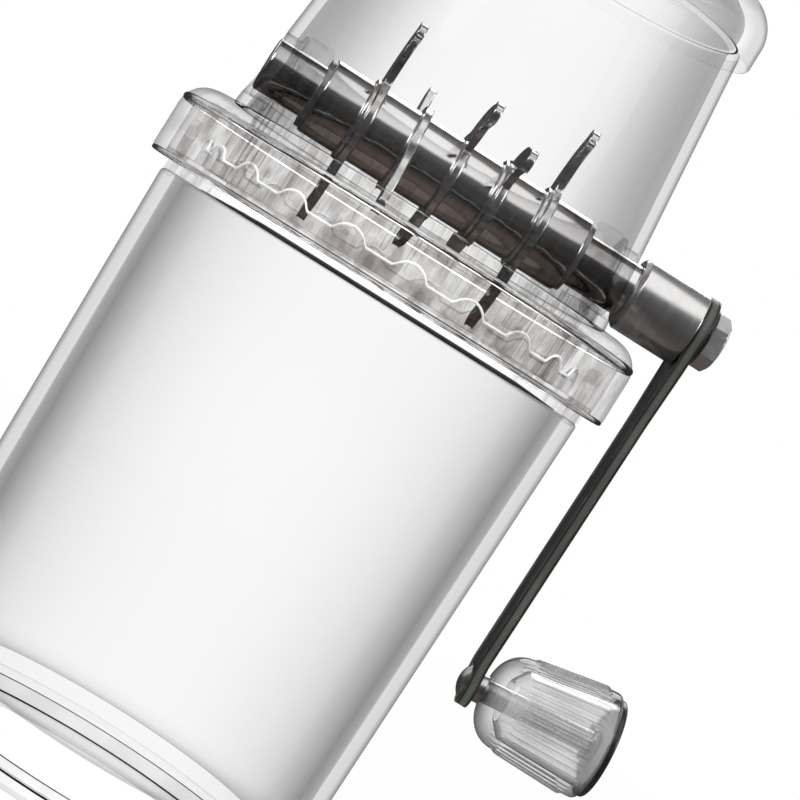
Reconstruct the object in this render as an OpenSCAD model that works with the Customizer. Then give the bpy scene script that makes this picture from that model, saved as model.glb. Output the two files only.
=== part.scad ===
// Hand crank ice crusher: a clear cup on a foot ring, a clear crushing head with a bladed shaft,
// a clear hopper with a lid, and a side crank with a ribbed knob.
// The origin is the middle of the base on the table, X runs along the shaft to the crank, Z is up.

/* [Cup] */
// Height of the cup rim above the table
cup_h = 141; // [120:1:170]
// Outer radius of the cup at its rim
cup_top_r = 59.9; // [59:0.1:62]
// Outer radius of the cup just above the foot ring
cup_foot_r = 57.1; // [54:0.1:59]
// Wall thickness of the cup
cup_wall = 3.8; // [3.4:0.1:4.2]
// Height of the cup's inner floor above the table
cup_floor_z = 14.5; // [13:0.5:24]
// Thickness of the cup's floor
cup_floor_t = 4.5; // [3:0.1:5.5]
// Radius of the inner corner between floor and wall
cup_corner_r = 8; // [4:0.5:12]
// Rounding of the rim edges
rim_round = 1.2; // [0.6:0.1:1.6]
// Outer radius of the plain ring moulded on the floor
floor_ring_r = 10; // [7:0.5:16]
// Width of that ring
floor_ring_w = 3; // [1.5:0.1:4]
// Height of that ring
floor_ring_h = 0.7; // [0.4:0.1:1.5]

/* [Foot ring] */
// Height of the soft foot ring
foot_h = 6.4; // [5:0.1:8]
// Thickness of the foot ring's outer wall
foot_wall = 2.2; // [1.5:0.1:3]
// Thickness of the ledge that the cup stands on
foot_ledge_t = 3; // [2:0.1:4]
// Width of the ledge inside the outer wall
foot_ledge_w = 6; // [5:0.1:10]
// Bevel round the lower edge of the foot ring
foot_bevel = 0.8; // [0.4:0.1:1.2]

/* [Locating lugs] */
// Width of the lug that stands up from the rim on each side
lug_w = 9.5; // [7:0.1:11]
// Radial thickness of a lug
lug_t = 2.8; // [2:0.1:3.2]
// Height of a lug above the rim
lug_h = 14; // [10:0.5:16]
// Width of the window in a lug
lug_window_w = 5; // [3:0.1:6]
// Height of the window in a lug
lug_window_h = 5.5; // [3:0.1:7]

/* [Collar] */
// How far the collar stands out beyond the cup rim
collar_overhang = 4.9; // [3.5:0.1:7]
// Height of the collar
collar_h = 20.1; // [18.5:0.1:26]
// Wall thickness of the collar
collar_wall = 3.5; // [2.5:0.1:3.6]
// Thickness of the collar's top
collar_top_t = 3.3; // [2.5:0.1:4.5]
// Radius of the rounded top edge of the collar
collar_round = 7; // [4:0.5:9]
// Radius of the rounded bottom edge of the collar
collar_lip_round = 2; // [1:0.1:3]
// Thickness of a stiffening rib inside the collar
rib_t = 1.2; // [0.8:0.1:2]
// Drop of the ribs below the collar's top
rib_drop = 9; // [6:0.1:10]
// Number of ribs and of scallops round the collar
rib_count = 20; // [12:2:24]

/* [Chamber] */
// How far the chamber's wall lies in from the outside of the cup rim
chamber_inset = 13.3; // [12.9:0.1:13.8]
// Wall thickness of the chamber's neck
neck_wall = 3; // [2:0.1:3.4]
// How far the neck rises into the hopper
neck_rise = 4.5; // [2:0.1:5.5]
// Radius of the flutes inside the neck
flute_r = 0.8; // [0.5:0.1:1]
// Number of flutes inside the neck
flute_count = 72; // [36:4:80]
// Thickness of the plate that closes the collar from below
plate_t = 2.6; // [2:0.1:4]
// Thickness of the seal between cup and collar
seal_t = 2.4; // [1.6:0.1:3]
// Radial width of the seal
seal_w = 5; // [4:0.1:6]
// Half the angle that each seal strip covers, front and back
seal_half_angle = 52; // [35:1:60]
// Wall thickness of the scalloped ring on the plate
scallop_t = 2; // [1.4:0.1:2.4]
// Height of the plain part of the scalloped ring
scallop_h = 3.6; // [2:0.1:6]
// Radius of a scallop
scallop_r = 5; // [3:0.1:6]

/* [Crushing comb] */
// Thickness of a comb bar
bar_t = 3.6; // [2.5:0.1:4.4]
// Height of the comb's bars
bar_h = 20; // [15:0.5:21]
// Height of the comb's rim
comb_rim_h = 5; // [3:0.5:8]
// Radial width of the comb's rim
comb_rim_w = 2.5; // [2:0.1:4]

/* [Hopper] */
// Height of the hopper above the collar
hopper_h = 75.5; // [60:0.5:100]
// How much narrower the hopper is at its rim than at its foot, on the radius
hopper_taper = 7.5; // [5:0.1:10]
// Wall thickness of the hopper
hopper_wall = 3; // [2:0.1:3.4]
// Height of the shaft axis above the collar
axis_rise = 12.3; // [11.5:0.1:20]

/* [Lid] */
// How far the lid's skirt hangs below the hopper rim
lid_skirt = 3.4; // [2:0.1:8]
// Wall thickness of the lid's skirt
lid_skirt_t = 2.9; // [2:0.1:4]
// Thickness of the lid's dome
lid_t = 3; // [2:0.1:4]
// Height of the lid's straight side above the hopper rim
lid_side = 3.2; // [2:0.1:8]
// Radius of the lid's shoulder
lid_shoulder = 9.5; // [6:0.5:12]
// Rise of the dome above the shoulder
lid_dome = 6.5; // [3:0.5:12]
// Width of the step by which the lid rests on the rim
lid_step = 3; // [2.5:0.1:5]

/* [Shaft] */
// Radius of the shaft
shaft_r = 7; // [6.5:0.1:7.4]
// Radius of the spacer sleeves
sleeve_r = 10; // [8.5:0.1:10.8]
// Distance across the shaft's two flats
shaft_flat_w = 11; // [10:0.1:12]
// Radius of the shaft's end inside the hub
shaft_stub_r = 5; // [4.5:0.1:6]
// Length of that end
shaft_stub_len = 16; // [12:0.5:18]
// Middle of the blade stack along the shaft
stack_x = 0.6; // [-1:0.1:1]

/* [Blades] */
// Distance from one blade to the next
blade_pitch = 12.4; // [12:0.1:12.6]
// Thickness of a blade
blade_t = 2; // [1.5:0.1:2.5]
// Radius of the circle that the blade tips describe
blade_tip_r = 29; // [24:0.5:29.2]
// Radius of a blade's middle disc
blade_disc_r = 11.6; // [11:0.1:12]
// Half width of a claw where it leaves the disc
claw_root_w = 6; // [4:0.1:7]
// Half width of a claw at its tip
claw_tip_w = 2.8; // [2:0.1:4]
// Radius of the thin washers beside some blades
washer_r = 11.2; // [10.5:0.1:11.8]
// Thickness of those washers
washer_t = 1.2; // [0.8:0.1:1.6]
// Thickness of a retaining ring
ring_t = 1.2; // [0.8:0.1:1.4]
// Outer radius of a retaining ring
ring_r = 9.4; // [8.5:0.1:10]

/* [Bearings] */
// Length of a bearing block along the shaft
bearing_len = 6.9; // [6:0.1:8]
// Outer radius of a bearing block about the shaft
bearing_r = 11.2; // [10:0.1:12]
// Outer radius of a bush in the hopper wall
bush_r = 8.9; // [8.4:0.1:9.4]
// Radius of a bush's flange
bush_flange_r = 10.6; // [10:0.1:11.4]
// Thickness of a bush's flange
bush_flange_t = 1; // [0.6:0.1:1.2]

/* [Crank] */
// Radius of the steel hub
hub_r = 9.9; // [9:0.1:10.5]
// Length of the hub
hub_len = 18.4; // [17.5:0.1:26]
// Bevel at the hub's inner end
hub_bevel = 1.2; // [0.5:0.1:2]
// Distance from the shaft axis to the knob axis
arm_reach = 103.5; // [90:0.5:120]
// Thickness of the crank arm
arm_t = 3; // [2.5:0.1:4]
// Width of the crank arm at mid length
arm_w = 13; // [10:0.1:15]
// Radius of the arm's end on the hub
arm_head_r = 9.8; // [9:0.1:12]
// Radius of the arm's end under the knob
arm_foot_r = 5.8; // [5:0.1:9]
// How far the arm leans in towards the cup at its foot
arm_lean = 1; // [0:0.1:5]
// Distance across the flats of the hexagon head
hex_af = 13; // [11:0.1:15]
// Height of the hexagon head
hex_h = 4.4; // [3:0.1:6]
// Radius of the bolt's shank
bolt_r = 3; // [2.5:0.1:3.6]
// Length of the shank inside the shaft
bolt_grip = 9; // [5:0.5:12]
// Radius of the washer under the head
bolt_washer_r = 8; // [7:0.1:9]
// Thickness of that washer
bolt_washer_t = 1.2; // [0.8:0.1:2]

/* [Knob] */
// Angle by which the knob's outer end is raised, in degrees
knob_tilt = 4.8; // [0:0.1:6]
// Length of the knob without its cap
knob_len = 32; // [30:0.5:45]
// Radius of the knob's shoulder behind its dome
knob_shoulder_r = 12.3; // [11:0.1:13]
// Radius of the knob at its outer rim
knob_rim_r = 14.4; // [13.5:0.1:16]
// Radius of the small face towards the arm
knob_face_r = 4; // [3.8:0.1:7]
// Length of the domed end
knob_dome_len = 8; // [7:0.5:14]
// Wall thickness of the knob
knob_wall = 3; // [2.5:0.1:3.5]
// Width of the smooth rim beyond the ribs
knob_rim_w = 3.7; // [2.5:0.1:6]
// Number of ribs round the knob
knob_rib_count = 44; // [24:2:48]
// Radius of a rib on the knob
knob_rib_r = 0.6; // [0.4:0.05:0.7]
// Thickness of the dark end cap
knob_cap_t = 1.5; // [1:0.1:3]
// Radius of the knob's spindle
spindle_r = 3; // [2.5:0.1:3.4]
// Radius of the spindle's riveted head
spindle_head_r = 4.6; // [4.2:0.1:5.2]
// Thickness of the spindle's heads
spindle_head_t = 1.8; // [1.2:0.1:2.4]
// Radius of the spacer between arm and knob
spacer_r = 3.8; // [3.5:0.1:5]
// Length of that spacer
spacer_len = 2.3; // [1.5:0.1:4]

/* [Hidden] */
$fn = 96;

// Radial clearance of a turning fit
run_fit = 0.05;
// Clearance between pieces that stay together
still_fit = 0.2;
// Clearance between pieces that move apart
move_fit = 0.4;
// Clearance of a lug in its slot
slot_fit = 0.6;
// Overrun of every cut
cut = 1;
// Depth to which joined shapes overlap
weld = 0.3;

// Heights of the stack, from the cup rim upwards
plate_z = cup_h + seal_t;
comb_z = plate_z + plate_t;
collar_top_z = plate_z + collar_h;
neck_z = collar_top_z + neck_rise;
axis_z = collar_top_z + axis_rise;
hopper_top_z = collar_top_z + hopper_h;

// Radii of the collar, the chamber, the neck and the hopper
chamber_r = cup_top_r - chamber_inset;
collar_r = cup_top_r + collar_overhang;
collar_in_r = collar_r - collar_wall;
neck_r = chamber_r + neck_wall;
hopper_fit = 0.8;
hopper_foot_r = neck_r + hopper_fit + hopper_wall;
hopper_top_r = hopper_foot_r - hopper_taper;
hopper_slope = hopper_taper / hopper_h;
scallop_gap = 2.4;
scallop_in_r = neck_r + scallop_gap;
scallop_out_r = scallop_in_r + scallop_t;
scallop_dip = 1.4;
rib_gap = 1;
rib_angle = 360 / rib_count;
lug_mid_r = cup_top_r - cup_wall / 2;

comb_notch_r = 16;
lid_lip_round = 1.4;
// Directions of the front and back, and of the two sides
front_back = [270, 90];
left_right = [180, 0];
// Angle left open between a seal strip and the land beside it
land_gap_angle = 2;

// Places along the shaft
blade_count = 5;
blade_phases = [18, -56, 47, 62, 14];
blade_has_washer = [1, 0, 0, 1, 1];
claw_hook = 26;
claw_steps = 12;
blades_x = [for (i = [0 : blade_count - 1]) stack_x + (i - (blade_count - 1) / 2) * blade_pitch];
ring_groove = 0.8;
ring_end_gap = 3;
bearing_gap = 0.5;
bearing_set = 1;
bearing_x = chamber_r - bearing_set - bearing_len;
stack_end = bearing_x - bearing_gap - ring_t;
stack_start = -stack_end;
shaft_start = -(hopper_foot_r - hopper_slope * axis_rise - move_fit);
hub_x = hopper_foot_r + still_fit;
hub_recess = 0.2;
arm_x = hub_x + hub_len;
arm_foot_x = arm_x - arm_lean;
spacer_x = arm_foot_x + arm_t;
knob_x = spacer_x + spacer_len + move_fit;
arm_waist_share = 0.25;
arm_head_wrap = 20;
hex_chamfer = 0.5;
spindle_head_bevel = 1.4;
knob_core_r = 5.4;
knob_core_end = 3.2;
knob_rim_round = 1.4;
knob_cap_inset = 1.2;
knob_cap_spigot = 1;

// Points of an arc about [x, y], from angle a0 to angle a1
function arc(x, y, r, a0, a1, steps = 8) =
    [for (i = [0 : steps]) let (a = a0 + (a1 - a0) * i / steps) [x + r * cos(a), y + r * sin(a)]];

// Outer radius of the cup's wall at height z, a straight taper from foot to rim
function cup_out_r(z) = cup_foot_r + (cup_top_r - cup_foot_r) * (z - foot_h) / (cup_h - foot_h);

// Outer radius of the hopper at height z above the collar
function hopper_out_r(z) = hopper_foot_r - hopper_slope * z;

// Draws its children in the plane across the shaft, Y to the right and Z up, and along +X from x
module across(x) translate([x, 0, axis_z]) rotate([90, 0, 90]) children();

// Round bar along +X from x
module bar_x(x, r, len) across(x) cylinder(r = r, h = len);

// Repeats its children count times round the Z axis
module ring_of(count, first = 0) for (i = [0 : count - 1]) rotate([0, 0, first + 360 / count * i]) children();

// Pie slice about Z with its middle along direction mid, tall enough for the collar
module sector(mid, half, r, z, h) translate([0, 0, z]) rotate([0, 0, mid]) linear_extrude(h)
    polygon([[0, 0], for (i = [-4 : 4]) r / cos(half / 8) * [cos(half * i / 4), sin(half * i / 4)]]);

module cup() {
    seat_r = cup_foot_r - foot_wall - still_fit;
    floor_in_r = cup_out_r(cup_floor_z) - cup_wall;
    in_top_r = cup_top_r - cup_wall;
    skirt_in_r = seat_r - cup_wall;
    color([0.93, 0.95, 0.96, 0.35]) {
        rotate_extrude() polygon(concat(
            [[skirt_in_r, foot_ledge_t], [seat_r, foot_ledge_t], [seat_r, foot_h], [cup_foot_r, foot_h]],
            arc(cup_top_r - rim_round, cup_h - rim_round, rim_round, 0, 90, 4),
            arc(in_top_r + rim_round, cup_h - rim_round, rim_round, 90, 180, 4),
            arc(floor_in_r - cup_corner_r, cup_floor_z + cup_corner_r, cup_corner_r, 0, -90),
            [[0, cup_floor_z], [0, cup_floor_z - cup_floor_t], [skirt_in_r, cup_floor_z - cup_floor_t]]
        ));
        translate([0, 0, cup_floor_z - weld]) difference() {
            cylinder(r = floor_ring_r, h = floor_ring_h + weld);
            translate([0, 0, -cut])
                cylinder(r = floor_ring_r - floor_ring_w, h = floor_ring_h + weld + cut * 2);
        }
        for (side = left_right) rotate([0, 0, side]) lug();
    }
}

// Upright tab on the cup rim that keeps the head from turning, with a small window
module lug() difference() {
    translate([lug_mid_r - lug_t / 2, -lug_w / 2, cup_h - rim_round - weld])
        cube([lug_t, lug_w, lug_h + rim_round + weld]);
    translate([lug_mid_r - lug_t, -lug_window_w / 2, cup_h + (lug_h - lug_window_h) / 2])
        cube([lug_t * 2, lug_window_w, lug_window_h]);
}

module foot_ring() {
    ledge_in_r = cup_foot_r - foot_wall - foot_ledge_w;
    color([0.85, 0.87, 0.88, 0.6]) rotate_extrude() polygon([
        [ledge_in_r, 0], [cup_foot_r - foot_bevel, 0], [cup_foot_r, foot_bevel], [cup_foot_r, foot_h],
        [cup_foot_r - foot_wall, foot_h], [cup_foot_r - foot_wall, foot_ledge_t], [ledge_in_r, foot_ledge_t]
    ]);
}

module seal_strips() {
    out_r = cup_top_r + (seal_w - cup_wall) / 2;
    color([0.06, 0.08, 0.07]) for (mid = front_back) intersection() {
        translate([0, 0, cup_h]) difference() {
            cylinder(r = out_r, h = seal_t);
            translate([0, 0, -cut]) cylinder(r = out_r - seal_w, h = seal_t + cut * 2);
        }
        sector(mid, seal_half_angle, collar_r, cup_h, seal_t);
    }
}

module collar() {
    color([0.93, 0.95, 0.96, 0.35]) difference() {
        union() {
            rotate_extrude() polygon(concat(
                [[chamber_r, comb_z], [neck_r, comb_z], [neck_r, collar_top_z - collar_top_t],
                 [collar_in_r, collar_top_z - collar_top_t], [collar_in_r, plate_z]],
                arc(collar_r - collar_lip_round, plate_z + collar_lip_round, collar_lip_round, -90, 0, 5),
                arc(collar_r - collar_round, collar_top_z - collar_round, collar_round, 0, 90),
                [[neck_r, collar_top_z], [neck_r, neck_z], [chamber_r, neck_z]]
            ));
            ring_of(rib_count, rib_angle / 2) collar_rib();
        }
        ring_of(flute_count) translate([chamber_r, 0, comb_z - cut])
            cylinder(r = flute_r, h = neck_z - comb_z + cut * 2, $fn = 24);
        bar_x(-collar_r, bush_flange_r + still_fit, collar_r * 2);
    }
}

// Upright rib under the collar's top, between the scalloped ring and the outer wall
module collar_rib() {
    start_r = scallop_out_r + rib_gap;
    translate([start_r, -rib_t / 2, collar_top_z - collar_top_t - rib_drop])
        cube([collar_in_r + weld - start_r, rib_t, rib_drop + weld]);
}

module collar_plate() {
    hole_r = chamber_r - comb_rim_w + weld;
    out_r = collar_in_r - still_fit;
    land_r = cup_top_r;
    color([0.93, 0.95, 0.96, 0.35]) difference() {
        union() {
            translate([0, 0, plate_z]) cylinder(r = out_r, h = plate_t);
            intersection() {
                translate([0, 0, cup_h]) cylinder(r = land_r, h = seal_t + weld);
                union() for (mid = left_right)
                    sector(mid, 90 - seal_half_angle - land_gap_angle, collar_r, cup_h, seal_t + weld);
            }
            scalloped_ring();
        }
        translate([0, 0, cup_h - cut]) cylinder(r = land_r - cup_wall, h = seal_t + cut);
        translate([0, 0, cup_h - cut]) cylinder(r = hole_r, h = seal_t + plate_t + cut * 2);
        for (side = left_right) rotate([0, 0, side])
            translate([lug_mid_r - lug_t / 2 - slot_fit, -lug_w / 2 - slot_fit, cup_h - cut])
                cube([lug_t + slot_fit * 2, lug_w + slot_fit * 2, seal_t + plate_t + cut * 2]);
    }
}

// Ring on the plate whose top edge rises in one round scallop between each pair of ribs
module scalloped_ring() difference() {
    union() {
        translate([0, 0, comb_z - weld]) cylinder(r = scallop_out_r, h = scallop_h + weld);
        intersection() {
            translate([0, 0, comb_z - weld]) cylinder(r = scallop_out_r, h = scallop_r * 2);
            ring_of(rib_count) translate([scallop_in_r - cut, 0, comb_z + scallop_dip]) rotate([0, 90, 0])
                cylinder(r = scallop_r, h = scallop_t + cut * 2, $fn = 48);
        }
    }
    translate([0, 0, comb_z - cut]) cylinder(r = scallop_in_r, h = collar_h);
}

module crushing_comb() {
    out_r = chamber_r - flute_r - still_fit;
    in_r = chamber_r - comb_rim_w;
    color([0.93, 0.95, 0.96, 0.35]) {
        translate([0, 0, comb_z]) difference() {
            cylinder(r = chamber_r - still_fit, h = comb_rim_h);
            translate([0, 0, -cut]) cylinder(r = in_r - weld, h = comb_rim_h + cut * 2);
        }
        difference() {
            intersection() {
                translate([0, 0, comb_z]) cylinder(r = out_r, h = bar_h);
                union() for (i = [0 : blade_count])
                    translate([stack_x + (i - blade_count / 2) * blade_pitch - bar_t / 2, -chamber_r, comb_z])
                        cube([bar_t, chamber_r * 2, bar_h]);
            }
            bar_x(-chamber_r, comb_notch_r, chamber_r * 2);
        }
    }
}

module hopper() {
    h_in = hopper_foot_r - hopper_wall;
    color([0.93, 0.95, 0.96, 0.35]) difference() {
        rotate_extrude() polygon(concat(
            [[h_in, collar_top_z], [hopper_foot_r, collar_top_z]],
            arc(hopper_top_r - rim_round, hopper_top_z - rim_round, rim_round, 0, 90, 4),
            arc(hopper_top_r - hopper_wall + rim_round, hopper_top_z - rim_round, rim_round, 90, 180, 4)
        ));
        bar_x(-collar_r, bush_r + still_fit / 2, collar_r * 2);
    }
}

// Clear block that carries the shaft beside the blade stack, on the comb's rim, drawn on the +X side
module bearing() color([0.93, 0.95, 0.96, 0.35]) difference() {
    block_len = bearing_len + bearing_set;
    intersection() {
        union() {
            bar_x(bearing_x, bearing_r, block_len);
            translate([bearing_x, -bearing_r, comb_z + comb_rim_h])
                cube([block_len, bearing_r * 2, axis_z - comb_z - comb_rim_h]);
        }
        translate([0, 0, comb_z]) cylinder(r = chamber_r - bearing_set, h = hopper_h);
    }
    bar_x(bearing_x - cut, shaft_r + run_fit, block_len + cut * 2);
}

// Flanged bush in the hopper wall, drawn on the +X side
module bush() {
    wall_r = hopper_out_r(axis_rise + bush_flange_r) - hopper_wall;
    flange_x = sqrt(wall_r * wall_r - bush_flange_r * bush_flange_r) - bush_flange_t - run_fit;
    bush_end = hopper_out_r(axis_rise + bush_r);
    color([0.9, 0.91, 0.92, 0.6]) difference() {
        union() {
            bar_x(flange_x, bush_flange_r, bush_flange_t);
            bar_x(flange_x, bush_r, bush_end - flange_x);
        }
        bar_x(flange_x - cut, shaft_r + run_fit, bush_end - flange_x + cut * 2);
    }
}

module bush_right() bush();
module bush_left() mirror([1, 0, 0]) bush();
module bearing_left() mirror([1, 0, 0]) bearing();
module bearing_right() bearing();

module shaft() {
    stub_x = hub_x - hub_recess;
    color([0.75, 0.76, 0.78]) difference() {
        union() {
            bar_x(shaft_start, shaft_r, stack_start - shaft_start);
            intersection() {
                bar_x(stack_start, shaft_r, stack_end - stack_start);
                across(stack_start) translate([-shaft_flat_w / 2, -shaft_r, 0])
                    cube([shaft_flat_w, shaft_r * 2, stack_end - stack_start]);
            }
            bar_x(stack_end, shaft_r, stub_x - stack_end);
            bar_x(stub_x, shaft_stub_r, shaft_stub_len);
        }
        ring_grooves();
        bar_x(stub_x + shaft_stub_len - bolt_grip - cut, bolt_r + run_fit, bolt_grip + cut * 2);
    }
}

// Grooves that the retaining rings snap into
module ring_grooves() for (x = [stack_start - ring_t, stack_end]) difference() {
    bar_x(x, shaft_r + cut, ring_t);
    bar_x(x - cut, shaft_r - ring_groove, ring_t + cut * 2);
}

module retaining_rings() color([0.35, 0.36, 0.38])
    for (x = [stack_start - ring_t, stack_end]) difference() {
        bar_x(x, ring_r, ring_t);
        bar_x(x - cut, shaft_r - ring_groove + run_fit, ring_t + cut * 2);
        across(x - cut) translate([-ring_end_gap / 2, -ring_r - cut, 0])
            cube([ring_end_gap, ring_r, ring_t + cut * 2]);
    }

// Outline of one claw: its middle line turns by claw_hook towards the tip while it narrows
function claw_side(side) = [for (i = [0 : claw_steps])
    let (t = i / claw_steps, a = claw_hook * t * t, r = (blade_tip_r - claw_tip_w) * t,
         w = side * (claw_root_w + (claw_tip_w - claw_root_w) * t))
    [-r * sin(a) + w * cos(a), r * cos(a) + w * sin(a)]];
function reversed(list) = [for (i = [len(list) - 1 : -1 : 0]) list[i]];

module claw() {
    tip_r = blade_tip_r - claw_tip_w;
    polygon(concat(claw_side(1), reversed(claw_side(-1))));
    translate([-tip_r * sin(claw_hook), tip_r * cos(claw_hook)]) circle(r = claw_tip_w, $fn = 32);
}

// Flat blade with two claws that curve the same way round, turned to its own phase on the flats
module blade(i) color([0.72, 0.73, 0.75]) across(blades_x[i] - blade_t / 2) difference() {
    linear_extrude(blade_t) rotate(blade_phases[i] - claw_hook) {
        circle(r = blade_disc_r);
        claw();
        rotate(180) claw();
    }
    intersection() {
        translate([0, 0, -cut]) cylinder(r = shaft_r + run_fit, h = blade_t + cut * 2);
        translate([-shaft_flat_w / 2 - run_fit, -shaft_r * 2, -cut])
            cube([shaft_flat_w + run_fit * 2, shaft_r * 4, blade_t + cut * 2]);
    }
}

// Sleeve number i fills the room before blade i, less the washer that sits against that blade
module sleeve(i) {
    x0 = i == 0 ? stack_start : blades_x[i - 1] + blade_t / 2;
    x1 = i == blade_count ? stack_end : blades_x[i] - blade_t / 2 - blade_has_washer[i] * washer_t;
    color([0.8, 0.81, 0.83]) difference() {
        bar_x(x0, sleeve_r, x1 - x0);
        bar_x(x0 - cut, shaft_r + run_fit, x1 - x0 + cut * 2);
    }
}

module blade_washers() color([0.7, 0.71, 0.73])
    for (i = [0 : blade_count - 1]) if (blade_has_washer[i] == 1) {
        x = blades_x[i] - blade_t / 2 - washer_t;
        difference() {
            bar_x(x, washer_r, washer_t);
            bar_x(x - cut, shaft_r + run_fit, washer_t + cut * 2);
        }
    }

module blade_1() blade(0);
module blade_2() blade(1);
module blade_3() blade(2);
module blade_4() blade(3);
module blade_5() blade(4);
module sleeve_1() sleeve(0);
module sleeve_2() sleeve(1);
module sleeve_3() sleeve(2);
module sleeve_4() sleeve(3);
module sleeve_5() sleeve(4);
module sleeve_6() sleeve(5);

module hub() color([0.55, 0.54, 0.53]) difference() {
    union() {
        across(hub_x) cylinder(r1 = hub_r - hub_bevel, r2 = hub_r, h = hub_bevel);
        bar_x(hub_x + hub_bevel, hub_r, hub_len - hub_bevel);
    }
    bar_x(hub_x - cut, shaft_stub_r + run_fit, shaft_stub_len - hub_recess + cut);
    bar_x(hub_x, bolt_r + still_fit, hub_len + cut);
}

// Point of the arm's foot, out along the knob's axis and down along the foot's plane
function foot_point(out, down) = [
    arm_foot_x + out * cos(knob_tilt) + down * sin(knob_tilt),
    -arm_reach + out * sin(knob_tilt) - down * cos(knob_tilt)
];

module crank_arm() {
    mid_w = arm_w / 2;
    foot_end = arm_foot_r + cut;
    color([0.08, 0.09, 0.09]) difference() {
        intersection() {
            translate([0, 0, axis_z]) rotate([90, 0, 0])
                linear_extrude(arm_head_r * 2 + cut * 2, center = true) polygon([
                    [arm_x, arm_head_r + cut], [arm_x, -arm_head_r],
                    foot_point(0, -arm_foot_r), foot_point(0, foot_end),
                    foot_point(arm_t, foot_end), foot_point(arm_t, -arm_foot_r),
                    [arm_x + arm_t, -arm_head_r], [arm_x + arm_t, arm_head_r + cut]
                ]);
            across(arm_foot_x - arm_t) linear_extrude(arm_lean + arm_t * 3) polygon(concat(
                arc(0, 0, arm_head_r, -arm_head_wrap, 180 + arm_head_wrap, 22),
                [[-mid_w, -arm_reach * arm_waist_share]],
                arc(0, -arm_reach, arm_foot_r, 180, 360, 16),
                [[mid_w, -arm_reach * arm_waist_share]]
            ));
        }
        bar_x(arm_x - cut, bolt_r + still_fit, arm_t + cut * 2);
        on_knob_axis() bar_x(arm_foot_x - cut, spindle_r + run_fit, arm_t + cut * 2);
    }
}

module bolt_washer() color([0.1, 0.1, 0.1]) difference() {
    bar_x(arm_x + arm_t, bolt_washer_r, bolt_washer_t);
    bar_x(arm_x + arm_t - cut, bolt_r + still_fit, bolt_washer_t + cut * 2);
}

module crank_bolt() {
    head_x = arm_x + arm_t + bolt_washer_t;
    shank_x = hub_x - hub_recess + shaft_stub_len - bolt_grip;
    corner_r = hex_af / 2 / cos(30);
    face_r = hex_af / 2 - hex_chamfer;
    color([0.85, 0.86, 0.88]) {
        intersection() {
            across(head_x) rotate(30) cylinder(r = corner_r, h = hex_h, $fn = 6);
            across(head_x) cylinder(r1 = face_r + hex_h / tan(30), r2 = face_r, h = hex_h);
        }
        bar_x(shank_x, bolt_r, head_x - shank_x + weld);
    }
}

// Moves its children, drawn about the shaft's axis, onto the knob's axis, which is tilted at the arm's foot
module on_knob_axis() translate([arm_foot_x, 0, axis_z - arm_reach]) rotate([0, -knob_tilt, 0])
    translate([-arm_foot_x, 0, -axis_z]) children();

module knob_spindle() {
    inner_x = arm_foot_x - spindle_head_t;
    outer_x = knob_x + knob_len - knob_core_end + move_fit;
    color([0.6, 0.6, 0.6]) on_knob_axis() {
        across(inner_x)
            cylinder(r1 = spindle_head_r - spindle_head_bevel, r2 = spindle_head_r, h = spindle_head_t);
        bar_x(arm_foot_x - weld, spindle_r, outer_x - arm_foot_x + weld * 2);
        bar_x(outer_x, spindle_head_r, spindle_head_t);
    }
}

module spindle_spacer() color([0.07, 0.07, 0.07]) on_knob_axis() difference() {
    bar_x(spacer_x, spacer_r, spacer_len);
    bar_x(spacer_x - cut, spindle_r + run_fit, spacer_len + cut * 2);
}

// Dome of the knob: the radius grows with the sine while the length grows with one minus the cosine
function knob_dome(in_r, out_r, len) =
    [for (a = [0 : 15 : 90]) [in_r + (out_r - in_r) * sin(a), len * (1 - cos(a))]];

module knob() {
    ribs_end = knob_len - knob_rim_w;
    bore_end = knob_len - knob_core_end;
    flare = atan((knob_rim_r - knob_shoulder_r) / (ribs_end - knob_dome_len));
    rib_len = (ribs_end - knob_dome_len) / cos(flare);
    color([0.9, 0.92, 0.93, 0.4]) on_knob_axis() difference() {
        union() {
            across(knob_x) rotate_extrude() polygon(concat(
                [[0, 0]], knob_dome(knob_face_r, knob_shoulder_r, knob_dome_len), [[knob_rim_r, ribs_end]],
                arc(knob_rim_r - knob_rim_round, knob_len - knob_rim_round, knob_rim_round, 0, 90, 4),
                [[0, knob_len]]
            ));
            across(knob_x + knob_dome_len) ring_of(knob_rib_count) translate([knob_shoulder_r, 0, 0])
                rotate([0, flare, 0]) cylinder(r = knob_rib_r, h = rib_len, $fn = 16);
        }
        across(knob_x) rotate_extrude() polygon(concat(
            [[knob_core_r, knob_dome_len - knob_wall], [knob_shoulder_r - knob_wall, knob_dome_len]],
            [[knob_rim_r - knob_wall, ribs_end], [knob_rim_r - knob_wall, knob_len + cut],
             [0, knob_len + cut], [0, bore_end], [knob_core_r, bore_end]]
        ));
        bar_x(knob_x - cut, spindle_r + run_fit, knob_len + cut * 2);
    }
}

module knob_cap() {
    spigot_r = knob_rim_r - knob_wall - still_fit;
    cap_x = knob_x + knob_len;
    color([0.12, 0.12, 0.12]) on_knob_axis() {
        bar_x(cap_x, knob_rim_r - knob_cap_inset, knob_cap_t);
        bar_x(cap_x - knob_cap_spigot / 2, spigot_r, knob_cap_spigot / 2 + weld);
    }
}

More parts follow.
